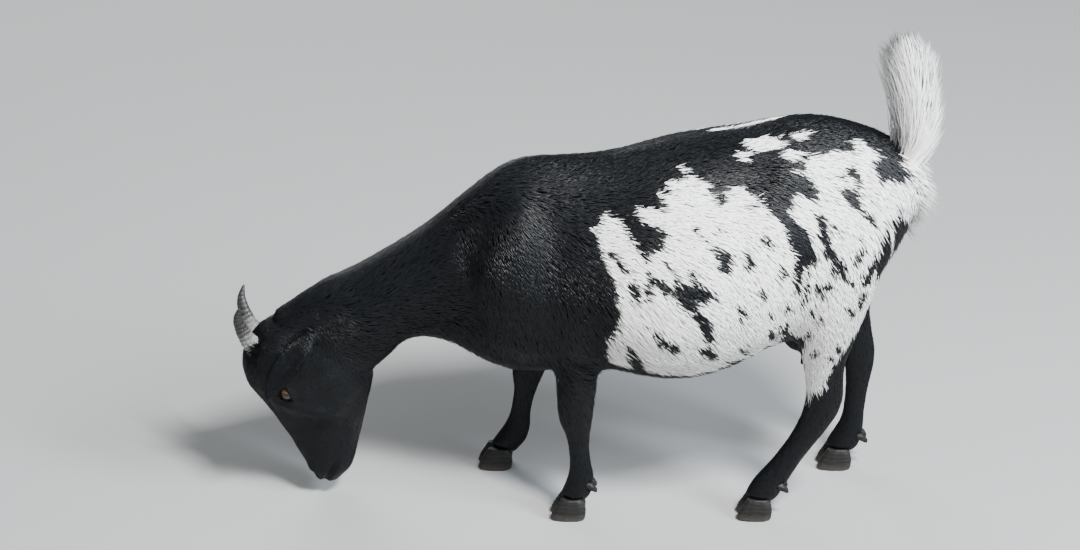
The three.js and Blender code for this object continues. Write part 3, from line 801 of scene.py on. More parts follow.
# strokes: points (along, down) and a half width
BLACK_STROKES = {"left": [
    ([(186, 135), (192, 142)], 4), ([(204, 175), (213, 187)], 4), ([(150, 199), (157, 212)], 8),
    ([(150, 198), (162, 200)], 5), ([(186, 197), (189, 213)], 4), ([(228, 213), (229, 233)], 3.5),
    ([(148, 167), (152, 168)], 2), ([(118, 163), (122, 175)], 2),
    ([(124, 177), (137, 183), (142, 193)], 1.2), ([(22, 208), (37, 222)], 3), ([(46, 243), (51, 252)], 6),
    ([(63, 223), (70, 230), (67, 242), (67, 255)], 4), ([(78, 235), (88, 242), (100, 241)], 5.5),
    ([(100, 241), (111, 254)], 9), ([(111, 255), (122, 265), (132, 275)], 6),
    ([(132, 275), (138, 283), (141, 295)], 7), ([(118, 222), (122, 234)], 5),
    ([(116, 243), (125, 246), (134, 246)], 9), ([(134, 244), (144, 247)], 4.5),
    ([(144, 247), (155, 260)], 1.6), ([(88, 212), (97, 222), (102, 232)], 3),
    ([(63, 286), (72, 290)], 1.5), ([(77, 293), (84, 304)], 3.5), ([(88, 303), (100, 310)], 5),
    ([(137, 311), (145, 324)], 6), ([(178, 263), (183, 274)], 4), ([(203, 244), (207, 252)], 3.5),
    ([(215, 270), (219, 282)], 2.2), ([(238, 270), (239, 281)], 2.2), ([(219, 306), (223, 318)], 5),
    ([(232, 303), (234, 330)], 2.5), ([(239, 303), (243, 338)], 3), ([(183, 323), (192, 348)], 3),
    ([(165, 347), (186, 360)], 3), ([(45, 316), (50, 332)], 4), ([(50, 336), (54, 352), (50, 366)], 9),
    ([(314, 76), (306, 84)], 6), ([(310, 85), (296, 91)], 2.8), ([(318, 84), (320, 100)], 4),
    ([(300, 106), (314, 108)], 5), ([(308, 112), (313, 124)], 9),
    ([(318, 124), (328, 136), (338, 149)], 4.5), ([(272, 148), (277, 160), (279, 172)], 6),
    ([(279, 172), (284, 189), (290, 203)], 6), ([(290, 203), (296, 216), (295, 230)], 4),
    ([(284, 248), (292, 243)], 5), ([(283, 256), (281, 267)], 2.5), ([(275, 243), (278, 252)], 3.5),
    ([(302, 210), (307, 223), (309, 238)], 4), ([(328, 194), (320, 214)], 4.5),
    ([(328, 176), (328, 194)], 1.5), ([(289, 159), (297, 165)], 2.8),
    ([(343, 221), (340, 232), (336, 246)], 6), ([(329, 234), (338, 236)], 4),
    ([(318, 241), (320, 252)], 2.5), ([(331, 266), (329, 284)], 4.5),
    ([(313, 281), (319, 290), (320, 298)], 3.2), ([(282, 293), (280, 304)], 3),
    ([(271, 282), (269, 295)], 1.8), ([(246, 203), (247, 225), (249, 247)], 5),
    ([(262, 220), (262, 245)], 2), ([(262, 245), (260, 258), (258, 272)], 4),
    ([(269, 322), (268, 338)], 3), ([(277, 366), (283, 355)], 2.5), ([(298, 362), (303, 367)], 3),
    ([(306, 347), (311, 357)], 4), ([(374, 110), (374, 127)], 2.2), ([(396, 70), (401, 60)], 3.5),
    ([(342, 105), (343, 109)], 1.5),
]}
WHITE_STROKES = {"left": [
    ([(275, 398), (268, 412), (261, 425)], 4.5),
    ([(246, 36), (258, 35)], 4.5), ([(239, 86), (256, 87)], 1.5), ([(300, 95), (314, 95)], 2.4),
    ([(364, 152), (368, 182)], 3), ([(376, 208), (379, 230)], 3), ([(107, 70), (113, 82), (115, 90)], 3),
]}
# the right side shows the same kind of pattern with its own shapes
WHITE_FIELDS["right"] = [
    [(18, 160), (36, 130), (58, 138), (74, 116), (98, 126), (112, 98), (134, 88), (152, 112), (170, 104),
     (184, 132), (206, 138), (222, 166), (226, 196), (240, 236), (236, 300), (214, 326), (170, 330),
     (138, 350), (96, 345), (60, 348), (44, 320), (50, 286), (38, 250), (44, 214), (26, 190)],
    [(262, 96), (284, 70), (306, 76), (324, 50), (352, 58), (372, 34), (377, -20), (440, -20), (440, 60),
     (408, 96), (396, 122), (372, 142), (362, 176), (350, 232), (346, 290), (330, 336), (306, 372),
     (290, 404), (272, 396), (262, 350), (256, 290), (266, 236), (250, 190), (262, 150), (248, 118)],
]
BLACK_STROKES["right"] = [
    ([(66, 196), (84, 214), (96, 238)], 8), ([(96, 238), (112, 246)], 5), ([(150, 170), (158, 190)], 5),
    ([(186, 214), (196, 230)], 6), ([(128, 268), (150, 276)], 6), ([(150, 276), (160, 296)], 4),
    ([(74, 292), (88, 300)], 4), ([(204, 270), (210, 288)], 4), ([(120, 140), (124, 154)], 3),
    ([(56, 254), (58, 268)], 3), ([(178, 160), (182, 168)], 3), ([(104, 186), (108, 196)], 3),
    ([(290, 108), (306, 128), (318, 152)], 9), ([(318, 152), (330, 180)], 5), ([(284, 190), (296, 220)], 6),
    ([(322, 216), (326, 236)], 4), ([(292, 256), (296, 276)], 4), ([(318, 290), (321, 302)], 3.5),
    ([(344, 92), (352, 108)], 5), ([(270, 200), (274, 226)], 3), ([(300, 320), (304, 334)], 4),
]
WHITE_STROKES["right"] = [
    ([(172, 58), (196, 52), (214, 60)], 6), ([(236, 70), (252, 76)], 4), ([(120, 60), (134, 58)], 4),
    ([(368, 176), (372, 200)], 4), ([(150, 24), (182, 18), (224, 22)], 7),
]
for side in SIDES:
    print(side, len(WHITE_FIELDS[side]), "fields and", len(BLACK_STROKES[side]), "black strokes")


# %% Reading the hide map
def polygon_depth(places, polygon):
    """Distance in mm to a polygon's border, positive inside it."""
    polygon = np.asarray(polygon, np.float64)
    nearest = np.full(len(places), 1e9)
    within = np.zeros(len(places), bool)
    for (ax, ay), (bx, by) in zip(polygon, np.roll(polygon, -1, axis=0)):
        gap, _ = segment_distance(places, (ax, ay), (bx, by))
        nearest = np.minimum(nearest, gap)
        crosses = (ay > places[:, 1]) != (by > places[:, 1])
        reach_x = ax + (places[:, 1] - ay) * (bx - ax) / ((by - ay) if by != ay else 1e-9)
        within ^= crosses & (places[:, 0] < reach_x)
    return np.where(within, nearest, -nearest)


def stroke_depth(places, stroke):
    line, half_width = stroke
    return half_width - line_gap(places, line)


rng = np.random.default_rng(20)
NOISE_SIZE = 128
noise_table = rng.random((NOISE_SIZE, NOISE_SIZE)).astype(np.float32)


def noise(u, v):
    """Soft random hills from -1 to 1 with a grid step of one."""
    iu, iv = np.floor(u).astype(int), np.floor(v).astype(int)
    fu, fv = u - iu, v - iv
    fu, fv = fu * fu * (3 - 2 * fu), fv * fv * (3 - 2 * fv)

    def corner(a, b):
        return noise_table[(iu + a) % NOISE_SIZE, (iv + b) % NOISE_SIZE]

    low = corner(0, 0) * (1 - fu) + corner(1, 0) * fu
    high = corner(0, 1) * (1 - fu) + corner(1, 1) * fu
    return 2.0 * (low * (1 - fv) + high * fv) - 1.0


PATTERN_FROM = (-0.03, 0.16)  # x and z above which the hide map holds; all before and below it is black
WHITE_DOCK_FROM = (0.384, 0.452)  # x and z above which the tail is all white


def whiteness(points):
    """Depth in mm inside the white of the coat; below zero the hair is black."""
    places = hide_place(points)
    flow = unit((0.55, 0.84))
    run = places @ flow
    across = places @ np.array((-flow[1], flow[0]))
    fray = 3.2 * noise(across / 4.5, run / 26.0) + 2.0 * noise(across / 1.8 + 40, run / 11.0)
    sway = noise(run / 9.0 + 7, across / 9.0)
    places = places + fray[:, None] * flow + sway[:, None] * (0.84, -0.55)
    depth = np.full(len(points), -200.0)
    on_body = (points[:, 0] > PATTERN_FROM[0]) & (points[:, 2] > PATTERN_FROM[1])
    for side, sign in SIDES.items():
        part = np.nonzero((points[:, 1] * sign >= 0) & on_body)[0]
        if not len(part):
            continue
        here = places[part]
        white = np.max([polygon_depth(here, field) for field in WHITE_FIELDS[side]], axis=0)
        black = np.max([stroke_depth(here, stroke) for stroke in BLACK_STROKES[side]], axis=0)
        extra = np.max([stroke_depth(here, stroke) for stroke in WHITE_STROKES[side]], axis=0)
        depth[part] = np.maximum(np.minimum(white, -black), extra)
    on_dock = (points[:, 0] > WHITE_DOCK_FROM[0]) & (points[:, 2] > WHITE_DOCK_FROM[1])
    return np.where(on_dock, np.maximum(depth, 10.0), depth)


skin_white = smoothstep(-1.5, 1.5, whiteness(co))
print(round(100 * float(skin_white.mean())), "% of the skin's points are white")

# %% [markdown]
# ## Finishes
# Two effects are used by more than one material, so each is a node group with its own inputs. Coat tint
# turns the whiteness, the place along a tuft and a random number into colour and roughness. Black hair is
# near black with a blue cast that is painted sky reflection, and all hair is painted darker towards the skin
# as shade of the hair above it; white hair is also creamy there. Hair grain is a fine bump drawn out up and
# down the body, for the hairs that are too small to model.


# %% Shader helpers
class Tree:
    """A short way to write node trees: each call makes a node and links its inputs."""

    def __init__(self, tree):
        self.tree = tree

    def link(self, value, socket):
        self.tree.links.new(value, socket)

    def node(self, kind, inputs=None, **settings):
        node = self.tree.nodes.new(kind)
        for key, value in settings.items():
            setattr(node, key, value)
        for key, value in (inputs or {}).items():
            if isinstance(value, bpy.types.NodeSocket):
                self.link(value, node.inputs[key])
            else:
                node.inputs[key].default_value = value
        return node

    def math(self, operation, a, b=0.0, c=0.0):
        return self.node("ShaderNodeMath", {0: a, 1: b, 2: c}, operation=operation).outputs[0]

    def spread(self, value, low, high, to_low=0.0, to_high=1.0):
        inputs = {"Value": value, "From Min": low, "From Max": high, "To Min": to_low, "To Max": to_high}
        return self.node("ShaderNodeMapRange", inputs, interpolation_type="SMOOTHSTEP").outputs["Result"]

    def mix(self, share, a, b):
        """Two colours mixed; a Mix node's colour sockets are its inputs 6 and 7 and its output 2."""
        return self.node("ShaderNodeMix", {0: share, 6: a, 7: b}, data_type="RGBA").outputs[2]

    def noise(self, place, scale, detail):
        inputs = {"Vector": place, "Scale": scale, "Detail": detail}
        return self.node("ShaderNodeTexNoise", inputs).outputs["Fac"]

    def attribute(self, name):
        return self.node("ShaderNodeAttribute", attribute_name=name).outputs["Fac"]

    def bump(self, shader, height, distance, strength):
        """A Bump node on the shader's Normal."""
        inputs = {"Height": height, "Distance": distance, "Strength": strength}
        self.link(self.node("ShaderNodeBump", inputs).outputs["Normal"], shader.inputs["Normal"])


def new_group(name, inputs, outputs):
    """A shader node group with named sockets; its Tree, inputs node and outputs node."""
    group = bpy.data.node_groups.new(name, "ShaderNodeTree")
    for label, kind, value in inputs:
        socket = group.interface.new_socket(name=label, in_out="INPUT", socket_type=f"NodeSocket{kind}")
        socket.default_value = value
    for label, kind in outputs:
        group.interface.new_socket(name=label, in_out="OUTPUT", socket_type=f"NodeSocket{kind}")
    tree = Tree(group)
    return tree, tree.node("NodeGroupInput").outputs, tree.node("NodeGroupOutput").inputs


def use_group(tree, name, inputs=None):
    return tree.node("ShaderNodeGroup", inputs, node_tree=bpy.data.node_groups[name]).outputs


# %% Coat tint and hair grain
# black colours: near black, with a blue cast that is painted sky reflection; the root colours are darker
# than the tips as painted shade of the hair above them, and the white root is creamy too
BLACK_ROOT, BLACK_TIP = (0.0012, 0.0016, 0.0023, 1.0), (0.0042, 0.0048, 0.0058, 1.0)
WHITE_ROOT, WHITE_TIP = (0.66, 0.63, 0.58, 1.0), (0.93, 0.925, 0.91, 1.0)
inputs = [("Whiteness", "Float", 0.0), ("Random", "Float", 0.5), ("Along", "Float", 0.5)]
g, given, out = new_group("coat tint", inputs, [("Color", "Color"), ("Roughness", "Float")])
# share of the tip colour: along the hair it lifts the painted shade of the roots, and a random part varies
# the tone
tipness = g.math("MULTIPLY_ADD", given["Random"], 0.5, g.math("MULTIPLY", given["Along"], 0.6))
black = g.mix(tipness, BLACK_ROOT, BLACK_TIP)
white = g.mix(tipness, WHITE_ROOT, WHITE_TIP)
g.link(g.mix(given["Whiteness"], black, white), out["Color"])
rough_black = g.spread(given["Random"], 0.0, 1.0, 0.34, 0.50)
g.link(g.math("MULTIPLY_ADD", given["Whiteness"], 0.18, rough_black), out["Roughness"])

inputs = [("Scale", "Float", 900.0), ("Stretch", "Float", 9.0)]
g, given, out = new_group("hair grain", inputs, [("Height", "Float")])
place = g.node("ShaderNodeTexCoord").outputs["Object"]
axes = g.node("ShaderNodeSeparateXYZ", {0: place}).outputs
short = g.math("DIVIDE", given["Scale"], given["Stretch"])
factors = (given["Scale"], given["Scale"], short)
scaled = {i: g.math("MULTIPLY", axes[i], factor) for i, factor in enumerate(factors)}
g.link(g.noise(g.node("ShaderNodeCombineXYZ", scaled).outputs[0], 1.0, 2.0), out["Height"])
print("groups:", [group.name for group in bpy.data.node_groups])


# %% Coat materials
def coat_material(name, sheen, gloss, bump_mm):
    constants = {"Sheen Weight": sheen, "Sheen Roughness": 0.35, "Specular IOR Level": gloss}
    material, shader = new_material(name, constants)
    tree = Tree(material.node_tree)
    labels = ("Whiteness", "Random", "Along")
    tint = use_group(tree, "coat tint", {label: tree.attribute(label.lower()) for label in labels})
    tree.link(tint["Color"], shader.inputs["Base Color"])
    tree.link(tint["Roughness"], shader.inputs["Roughness"])
    tree.bump(shader, use_group(tree, "hair grain")["Height"], bump_mm * MM, 0.6)
    return material


skin_finish = coat_material("skin under the coat", sheen=0.0, gloss=0.05, bump_mm=0.25)
coat_finish = coat_material("short coat", sheen=0.0, gloss=0.20, bump_mm=0.12)
plume_finish = coat_material("tail plume", sheen=0.05, gloss=0.26, bump_mm=0.1)


def write_points(mesh, **values):
    """Per-point numbers that the materials read."""
    for name, numbers in values.items():
        attribute = mesh.attributes.new(name, "FLOAT", "POINT")
        attribute.data.foreach_set("value", np.ascontiguousarray(numbers, np.float32))


# the skin takes the root colours (along 0), so it shows the same painted shade as the roots of the hair
write_points(skin_mesh, whiteness=skin_white, random=np.full(len(co), 0.3), along=np.full(len(co), 0.0))
skin = add_piece("skin", skin_mesh, skin_finish)
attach(skin, "root")
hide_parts(*FLESH, *EARS, "tail")
print("skin in place of", len(FLESH) + len(EARS) + 1, "nodes")

# %% [markdown]
# ## The coat
# Real hair stands in small pointed tufts that lie over each other like tiles. Blender's hair curves are the
# usual way to make it, but they are drawn only by the renderer and don't go along with a model as meshes.
# So each tuft here is a solid: a point sunk in the skin, three points round its belly and a sharp tip, six
# triangles in all. The skin's own field lifts belly and tip to the heights that the table gives, so tufts
# bend round the body instead of sticking out of it. Their normals lean towards the skin's, which lights
# them as one coat.

# %% Roots on the skin
COVER = 2.7  # layers of hair over any place
skin_field = Field(body_low, SKIN_SPACING, rough)
skin_mesh.calc_loop_triangles()
triangles = read(skin_mesh.loop_triangles, "vertices", 3, np.int32)
corner_points = co[triangles]
face_cross = np.cross(corner_points[:, 1] - corner_points[:, 0], corner_points[:, 2] - corner_points[:, 0])
areas = 0.5 * np.linalg.norm(face_cross, axis=1)
hair, _ = coat_at(corner_points.mean(1))
crowd = COVER / (0.5 * hair[:, 1] * hair[:, 2] * MM * MM)
wanted = np.cumsum(areas * crowd)
TUFTS = int(wanted[-1])
picks = np.searchsorted(wanted, (np.arange(TUFTS) + rng.random(TUFTS)) / TUFTS * wanted[-1])
picks = np.minimum(picks, len(triangles) - 1)
r1, r2 = np.sqrt(rng.random(TUFTS)), rng.random(TUFTS)
shares = np.stack([1 - r1, r1 * (1 - r2), r1 * r2], axis=1)  # how near a root is to each corner
roots = (corner_points[picks] * shares[:, :, None]).sum(1)
print(TUFTS, "roots over", round(float(areas.sum()), 3), "square metres of skin")


def field_slope(points, step=1.2 * MM):
    """Height over the skin and the direction away from it."""
    rises = [skin_field.at(points + push) - skin_field.at(points - push) for push in step * np.eye(3)]
    return skin_field.at(points), unit(np.stack(rises, axis=1))


# %% Bare places
def bare(points):
    """Where no hair grows: between the lids, on the nose and nostrils, in the mouth, on the teats."""
    found = np.zeros(len(points), bool)
    for centre, outward, length, upward in EYES.values():
        offset = points - centre
        u = offset @ length
        v = offset @ upward + droop(u / OPENING_HALF[0])
        ring = (u / (OPENING_HALF[0] * 1.16)) ** 2 + (v / (OPENING_HALF[1] * 1.24)) ** 2
        found |= (ring < 1.0) & (offset @ outward > 0)
    flat = folded(points)
    near = np.nonzero((flat[:, 2] < 62) & (flat[:, 0] < -295))[0]
    for line, reach in ((NOSTRIL, 3.0), (MOUTH, MOUTH_HALF + 0.2)):
        found[near] |= line_gap(flat[near], line) < reach
    found |= (flat[:, 1] < 6) & (flat[:, 2] < 38) & (flat[:, 0] < -343)
    return found | (line_gap(flat, TEATS) < 8.0)


keep = ~bare(roots)
roots, picks = roots[keep], picks[keep]
print(int((~keep).sum()), "roots fell on bare places")


# %% Shaping the tufts
LEAST_HEIGHTS = (0.45 * MM, 0.75 * MM)  # of belly and tip, where the coat is thinnest
LEAN = 1.1  # how far a tuft's two edges turn away from the skin's direction
AGREEMENT = 0.55  # cosine of the angle up to which two directions count as one
BELLY, POINT = 0.38, 0.62  # from root to belly and from belly to tip, as shares of the length


def trusted(found, wanted, height, fallback):
    """The field's height and direction, or the face's own where the skin is too thin for the field."""
    agree = (found * wanted).sum(1) > AGREEMENT
    return np.where(agree, height, fallback), np.where(agree[:, None], found, wanted)


def shaped(roots, hair, lie, facing):
    """Five points for each tuft: root, left, right, crest and tip; and the skin's direction at each."""
    count = len(roots)
    base, up = field_slope(roots)
    base, up = trusted(up, facing, base, 0.0)
    flow = unit(lie - (lie * up).sum(1, keepdims=True) * up)
    side = np.cross(up, flow)
    swirl = rng.normal(0.0, 0.16, count) + 0.18 * noise(roots[:, 0] / 0.03, roots[:, 2] / 0.03)
    flow = np.cos(swirl)[:, None] * flow + np.sin(swirl)[:, None] * side
    depth, length, width, lift = (hair * (MM, MM, MM, 1.0)).T
    length = length * rng.uniform(0.72, 1.22, count)
    width = width * rng.uniform(0.75, 1.25, count)
    mid = roots + flow * (BELLY * length)[:, None] + up * (0.5 * depth)[:, None]
    height, up_mid = field_slope(mid)
    height, up_mid = trusted(up_mid, up, height, base + 0.5 * depth)
    aim = np.maximum(depth * rng.uniform(0.30, 0.62, count), LEAST_HEIGHTS[0])
    mid += up_mid * (aim + base - height)[:, None]
    flow_mid = unit(flow - (flow * up_mid).sum(1, keepdims=True) * up_mid)
    tip = mid + flow_mid * (POINT * length)[:, None]
    height, up_tip = field_slope(tip)
    height, up_tip = trusted(up_tip, up_mid, height, base + np.maximum(depth * 0.5, LEAST_HEIGHTS[0]))
    aim = np.maximum(depth * rng.uniform(0.45, 0.98, count) * np.minimum(lift, 1.3), LEAST_HEIGHTS[1])
    tip += up_tip * (aim * rng.uniform(0.8, 1.2, count) + base - height)[:, None]
    sideways = np.cross(up_mid, flow_mid)
    across = sideways * (0.5 * width)[:, None]
    thick = up_mid * (0.26 * width)[:, None]
    sunk = roots - up * (0.7 * MM) - flow * (0.06 * length)[:, None]
    low = 0.3 * thick
    points = np.stack([sunk, mid + across - low, mid - across - low, mid + thick, tip], axis=1)
    leaning = LEAN * sideways
    normals = [up, up_mid + leaning, up_mid - leaning, up_mid, up_tip + 0.3 * flow_mid]
    return points, unit(np.stack(normals, axis=1))


# %% Pieces of coat
PATCH = 0.0015  # half width of a tuft's patch in the bake map
# a kind of hair: its faces, how far along the hair each point lies, and the points' places in the patch
TUFT = (
    np.array([(0, 1, 2), (4, 2, 1), (0, 3, 1), (0, 2, 3), (4, 1, 3), (4, 3, 2)]),
    np.array([0.0, 0.4, 0.4, 0.45, 1.0]),
    np.array([(-1.0, 0.0), (0.0, -1.0), (0.0, 1.0), (0.1, 0.0), (1.0, 0.0)]) * PATCH,
)
print("a tuft has", len(TUFT[0]), "triangles")


def chart(roots, axis):
    """Places from 0 to 1 on an unrolled tube round the roots' own middle line."""
    axis = unit(axis)
    along = roots @ axis
    first = unit(np.cross(axis, (0.0, 1.0, 0.0) if abs(axis[1]) < 0.9 else (1.0, 0.0, 0.0)))
    second = np.cross(axis, first)
    a, b = (side - np.polyval(np.polyfit(along, side, 1), along) for side in (roots @ first, roots @ second))
    places = np.stack([along, np.arctan2(b, a)], axis=1)
    return 0.01 + 0.98 * (places - places.min(0)) / np.ptp(places, axis=0)


def coat_piece(name, kind, points, normals, roots, axis, white, random, finish):
    """One joined mesh of one kind of hair, with its attributes, its bake patches and its leaning normals."""
    faces, along, patch = kind
    count, size = points.shape[:2]
    mesh = bpy.data.meshes.new(name)
    corners = (faces[None] + size * np.arange(count)[:, None, None]).reshape(-1, 3)
    mesh.vertices.add(count * size)
    mesh.vertices.foreach_set("co", points.astype(np.float32).ravel())
    mesh.loops.add(corners.size)
    mesh.loops.foreach_set("vertex_index", corners.astype(np.int32).ravel())
    mesh.polygons.add(len(corners))
    mesh.polygons.foreach_set("loop_start", np.arange(0, corners.size, 3, dtype=np.int32))
    mesh.update(calc_edges=True)
    mesh.validate()
    mesh.polygons.foreach_set("use_smooth", np.ones(len(corners), bool))
    places = (chart(roots, axis)[:, None] + patch[None]).reshape(-1, 2)
    layer = mesh.uv_layers.new(name="OFBake")
    layer.data.foreach_set("uv", places[corners.ravel()].astype(np.float32).ravel())
    hairs = {"whiteness": np.repeat(white, size), "random": np.repeat(random, size)}
    write_points(mesh, **hairs, along=np.tile(along, count))
    mesh.normals_split_custom_set_from_vertices(normals.reshape(-1, 3).tolist())
    piece = add_piece(name, mesh, finish)
    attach(piece, "root")


# %% The coat, region by region
HEAD_AXIS, NECK_AXIS, EAR_AXIS = (0.28, 0.0, -0.96), (0.77, 0.0, 0.64), (-0.69, 0.0, -0.73)
REGION_AXES = {
    "coat_muzzle": HEAD_AXIS, "coat_cheek": HEAD_AXIS, "coat_crown": HEAD_AXIS, "coat_ear": EAR_AXIS,
    "coat_neck": NECK_AXIS, "coat_fore": (0, 0, 1), "coat_hind": (0, 0, 1), "coat_dock": (0, 0, 1),
}
EAR_NEAR = 1.3 * MM
BODY_CUTS = {
    "shoulder": (-1.0, -0.02), "ribs": (-0.02, 0.105), "flank": (0.105, 0.225), "haunch": (0.225, 1.0),
}
HEAD_CUTS = {"muzzle": (-1.0, 0.105), "cheek": (0.105, 0.185), "crown": (0.185, 1.0)}
x, y, z = roots.T
region = np.full(len(roots), "", dtype="U24")
for side, sign in SIDES.items():
    here = y * sign >= 0
    for label, (start, end) in BODY_CUTS.items():
        region[here & (x >= start) & (x < end)] = f"coat_{label}_{side}"
    region[here & (z < 0.185) & (x < 0.1)] = f"coat_foreleg_{side}"
    region[here & (z < 0.235) & (x >= 0.17) & (np.abs(y) > 0.036)] = f"coat_hindleg_{side}"
    region[here & (x < -0.135)] = f"coat_neck_{side}"
    on_head = here & (x < -0.262)
    for label, (low, high) in HEAD_CUTS.items():
        region[on_head & (z < 0.275) & (z >= low) & (z < high)] = f"coat_{label}_{side}"
    region[on_head & (np.abs(ear_form.at(roots)) < EAR_NEAR)] = f"coat_ear_{side}"
region[(x > 0.36) & (z > 0.5)] = "coat_dock"
print(len(np.unique(region)), "regions of coat")


# %% The tufts of each region
def whiteness_of(depth):
    """0 for black and 1 for white hair, with a narrow change between them."""
    return smoothstep(-0.8, 0.8, depth)


hair, lie = coat_at(roots)
tuft_points, tuft_normals = shaped(roots, hair, lie, unit(face_cross[picks]))
tuft_random = rng.random(len(roots))
tuft_white = whiteness_of(whiteness(roots) + rng.normal(0.0, 0.9, len(roots)))
for name in np.unique(region):
    chosen = region == name
    axis = next((axis for start, axis in REGION_AXES.items() if name.startswith(start)), (1, 0, 0))
    coat_piece(
        str(name), TUFT, tuft_points[chosen], tuft_normals[chosen], roots[chosen], axis,
        tuft_white[chosen], tuft_random[chosen], coat_finish,
    )
print(len(TUFT[0]) * len(roots), "triangles of coat")

# %% [markdown]
# ## The tail
# A goat carries its tail up, and its long white hair fans out into a plume. One lofted shape would look
# like a brush made of plaster, so the plume is many locks. The bone inside reaches only part of the way:
# each lock starts on the dock, leaves it at a slant and bends up to a place on the plume's outline. A lock
# has several rings of points, because a six-triangle tuft can't bend that far.

# %% Strands
RINGS = 4
STRAND_TAPER = np.array([0.7, 1.0, 0.85, 0.5, 0.0])
STRAND_ALONG = np.append(np.repeat(np.arange(RINGS) / RINGS, 3), 1.0)
strand_faces = [(0, 2, 1)]
for ring in range(RINGS - 1):
    for corner in range(3):
        a, b = 3 * ring + corner, 3 * ring + (corner + 1) % 3
        strand_faces += [(a, b, b + 3), (a, b + 3, a + 3)]
last = 3 * (RINGS - 1)
strand_faces += [(last + c, last + (c + 1) % 3, 3 * RINGS) for c in range(3)]
lanes = [0, 1, 2] * RINGS + [1]
strand_patch = np.array([((2 * a - 1) * PATCH, (c - 1) * PATCH) for a, c in zip(STRAND_ALONG, lanes)])
STRAND = (np.array(strand_faces), STRAND_ALONG, strand_patch)


def bent(starts, middles, ends):
    """Curved paths of RINGS steps from start to end, pulled towards the middle."""
    t = (np.arange(RINGS + 1) / RINGS)[None, :, None]
    return (1 - t) ** 2 * starts[:, None] + 2 * t * (1 - t) * middles[:, None] + t**2 * ends[:, None]


def strands(path, girth, outwards):
    """Closed three-sided strands round curved paths: rings of three points and a tip."""
    tangent = unit(np.gradient(path, axis=1))
    sideways = unit(np.cross(tangent, outwards[:, None] + 1e-6))
    rise = np.cross(sideways, tangent)
    rings = []
    for corner in range(3):
        phase = 2 * np.pi * corner / 3
        around = np.cos(phase) * rise * 0.6 + np.sin(phase) * sideways
        rings.append(path + around * (girth[:, None] * STRAND_TAPER)[..., None])
    points = np.stack(rings, axis=2)[:, :RINGS].reshape(len(path), -1, 3)
    return np.concatenate([points, path[:, -1:]], axis=1)


print("a strand has", len(STRAND[0]), "triangles")

# %% Plume
# height, middle along x, half depth, half width of the plume's outline, in mm
PLUME = np.array([
    (452, 395, 14, 13), (474, 410, 21, 17), (497, 413, 26, 19), (519, 411, 28, 22), (539, 406, 30, 24),
    (560, 397, 34, 26), (580, 391, 36, 27), (602, 387, 37, 26), (614, 384, 31, 19), (620, 384, 17, 8),
], float)
PLUME_TOP = 627
PLUME_RAGGED = 34  # how far below the top a lock may end
LOCKS = 3400
ROOTS_Z = (436, 580)  # lowest and highest root of a lock on the dock


def plume_at(height, column):
    return np.interp(height, PLUME[:, 0], PLUME[:, column])


start_z = ROOTS_Z[0] + (ROOTS_Z[1] - ROOTS_Z[0]) * rng.random(LOCKS) ** 0.9
turn = rng.uniform(0, 2 * np.pi, LOCKS)
out_x, out_y = np.cos(turn), np.sin(turn)
dock = np.array(DOCK, float)
dock_x = np.interp(start_z, dock[:, 2], dock[:, 0])
dock_radius = np.interp(start_z, (430, 580), DOCK_RADII)
starts = np.stack([dock_x + out_x * dock_radius * 0.8, out_y * dock_radius * 0.8, start_z], axis=1)
reach = rng.uniform(48, 92, LOCKS) * np.interp(start_z, (436, 470, 580), (0.55, 0.9, 0.75))
end_z = np.minimum(start_z + reach, PLUME_TOP - PLUME_RAGGED * rng.random(LOCKS) ** 1.5)
fill = np.sqrt(rng.uniform(0.12, 1.0, LOCKS))
fill *= rng.uniform(0.95, 1.2, LOCKS)
end_x = plume_at(end_z, 1) + out_x * plume_at(end_z, 2) * fill
ends = np.stack([end_x, out_y * plume_at(end_z, 3) * fill, end_z], axis=1)
slant = np.stack([out_x, out_y, np.full(LOCKS, 0.9)], axis=1)
middles = starts + slant * (0.33 * reach)[:, None] * np.stack([fill, fill, np.ones(LOCKS)], axis=1)
path = bent(starts, middles, ends)
steps = (np.arange(RINGS + 1) / RINGS)[None, :, None]
waves = np.sin(steps * 5.0 + rng.uniform(0, 6.3, (LOCKS, 1, 1)))
path += waves * rng.normal(0, 0.9, (LOCKS, 1, 3)) * steps
path *= MM
outwards = np.stack([out_x, out_y, 0 * out_x], axis=1)
lock_points = strands(path, rng.uniform(0.9, 1.5, LOCKS) * MM, outwards)
hub_x = plume_at(path[..., 2] / MM, 1) * MM
hub = np.stack([hub_x, 0 * path[..., 1], path[..., 2]], axis=2)
swell = unit(path - hub + 1e-6) + 0.25 * outwards[:, None]
lock_normals = np.concatenate([np.repeat(swell[:, :RINGS], 3, axis=1), swell[:, -1:]], axis=1)
black_base = (out_x < -0.5) & (start_z < 447 + rng.normal(0, 3, LOCKS))
coat_piece(
    "coat_plume", STRAND, lock_points, unit(lock_normals), starts * MM, (0, 0, 1),
    np.where(black_base, 0.0, 1.0), rng.random(LOCKS), plume_finish,
)
print(LOCKS, "locks in the plume")

# %% [markdown]
# ## Longer hair in the short coat
# Round the feet of the horns the hair is too long for a flat tuft, and the rump carries a white fringe.
# Both use the plume's strands, rooted at places picked from the tufts' own roots: each leaves the skin at a
# slant and falls along the lie of the coat, so it blends with the tufts round it.


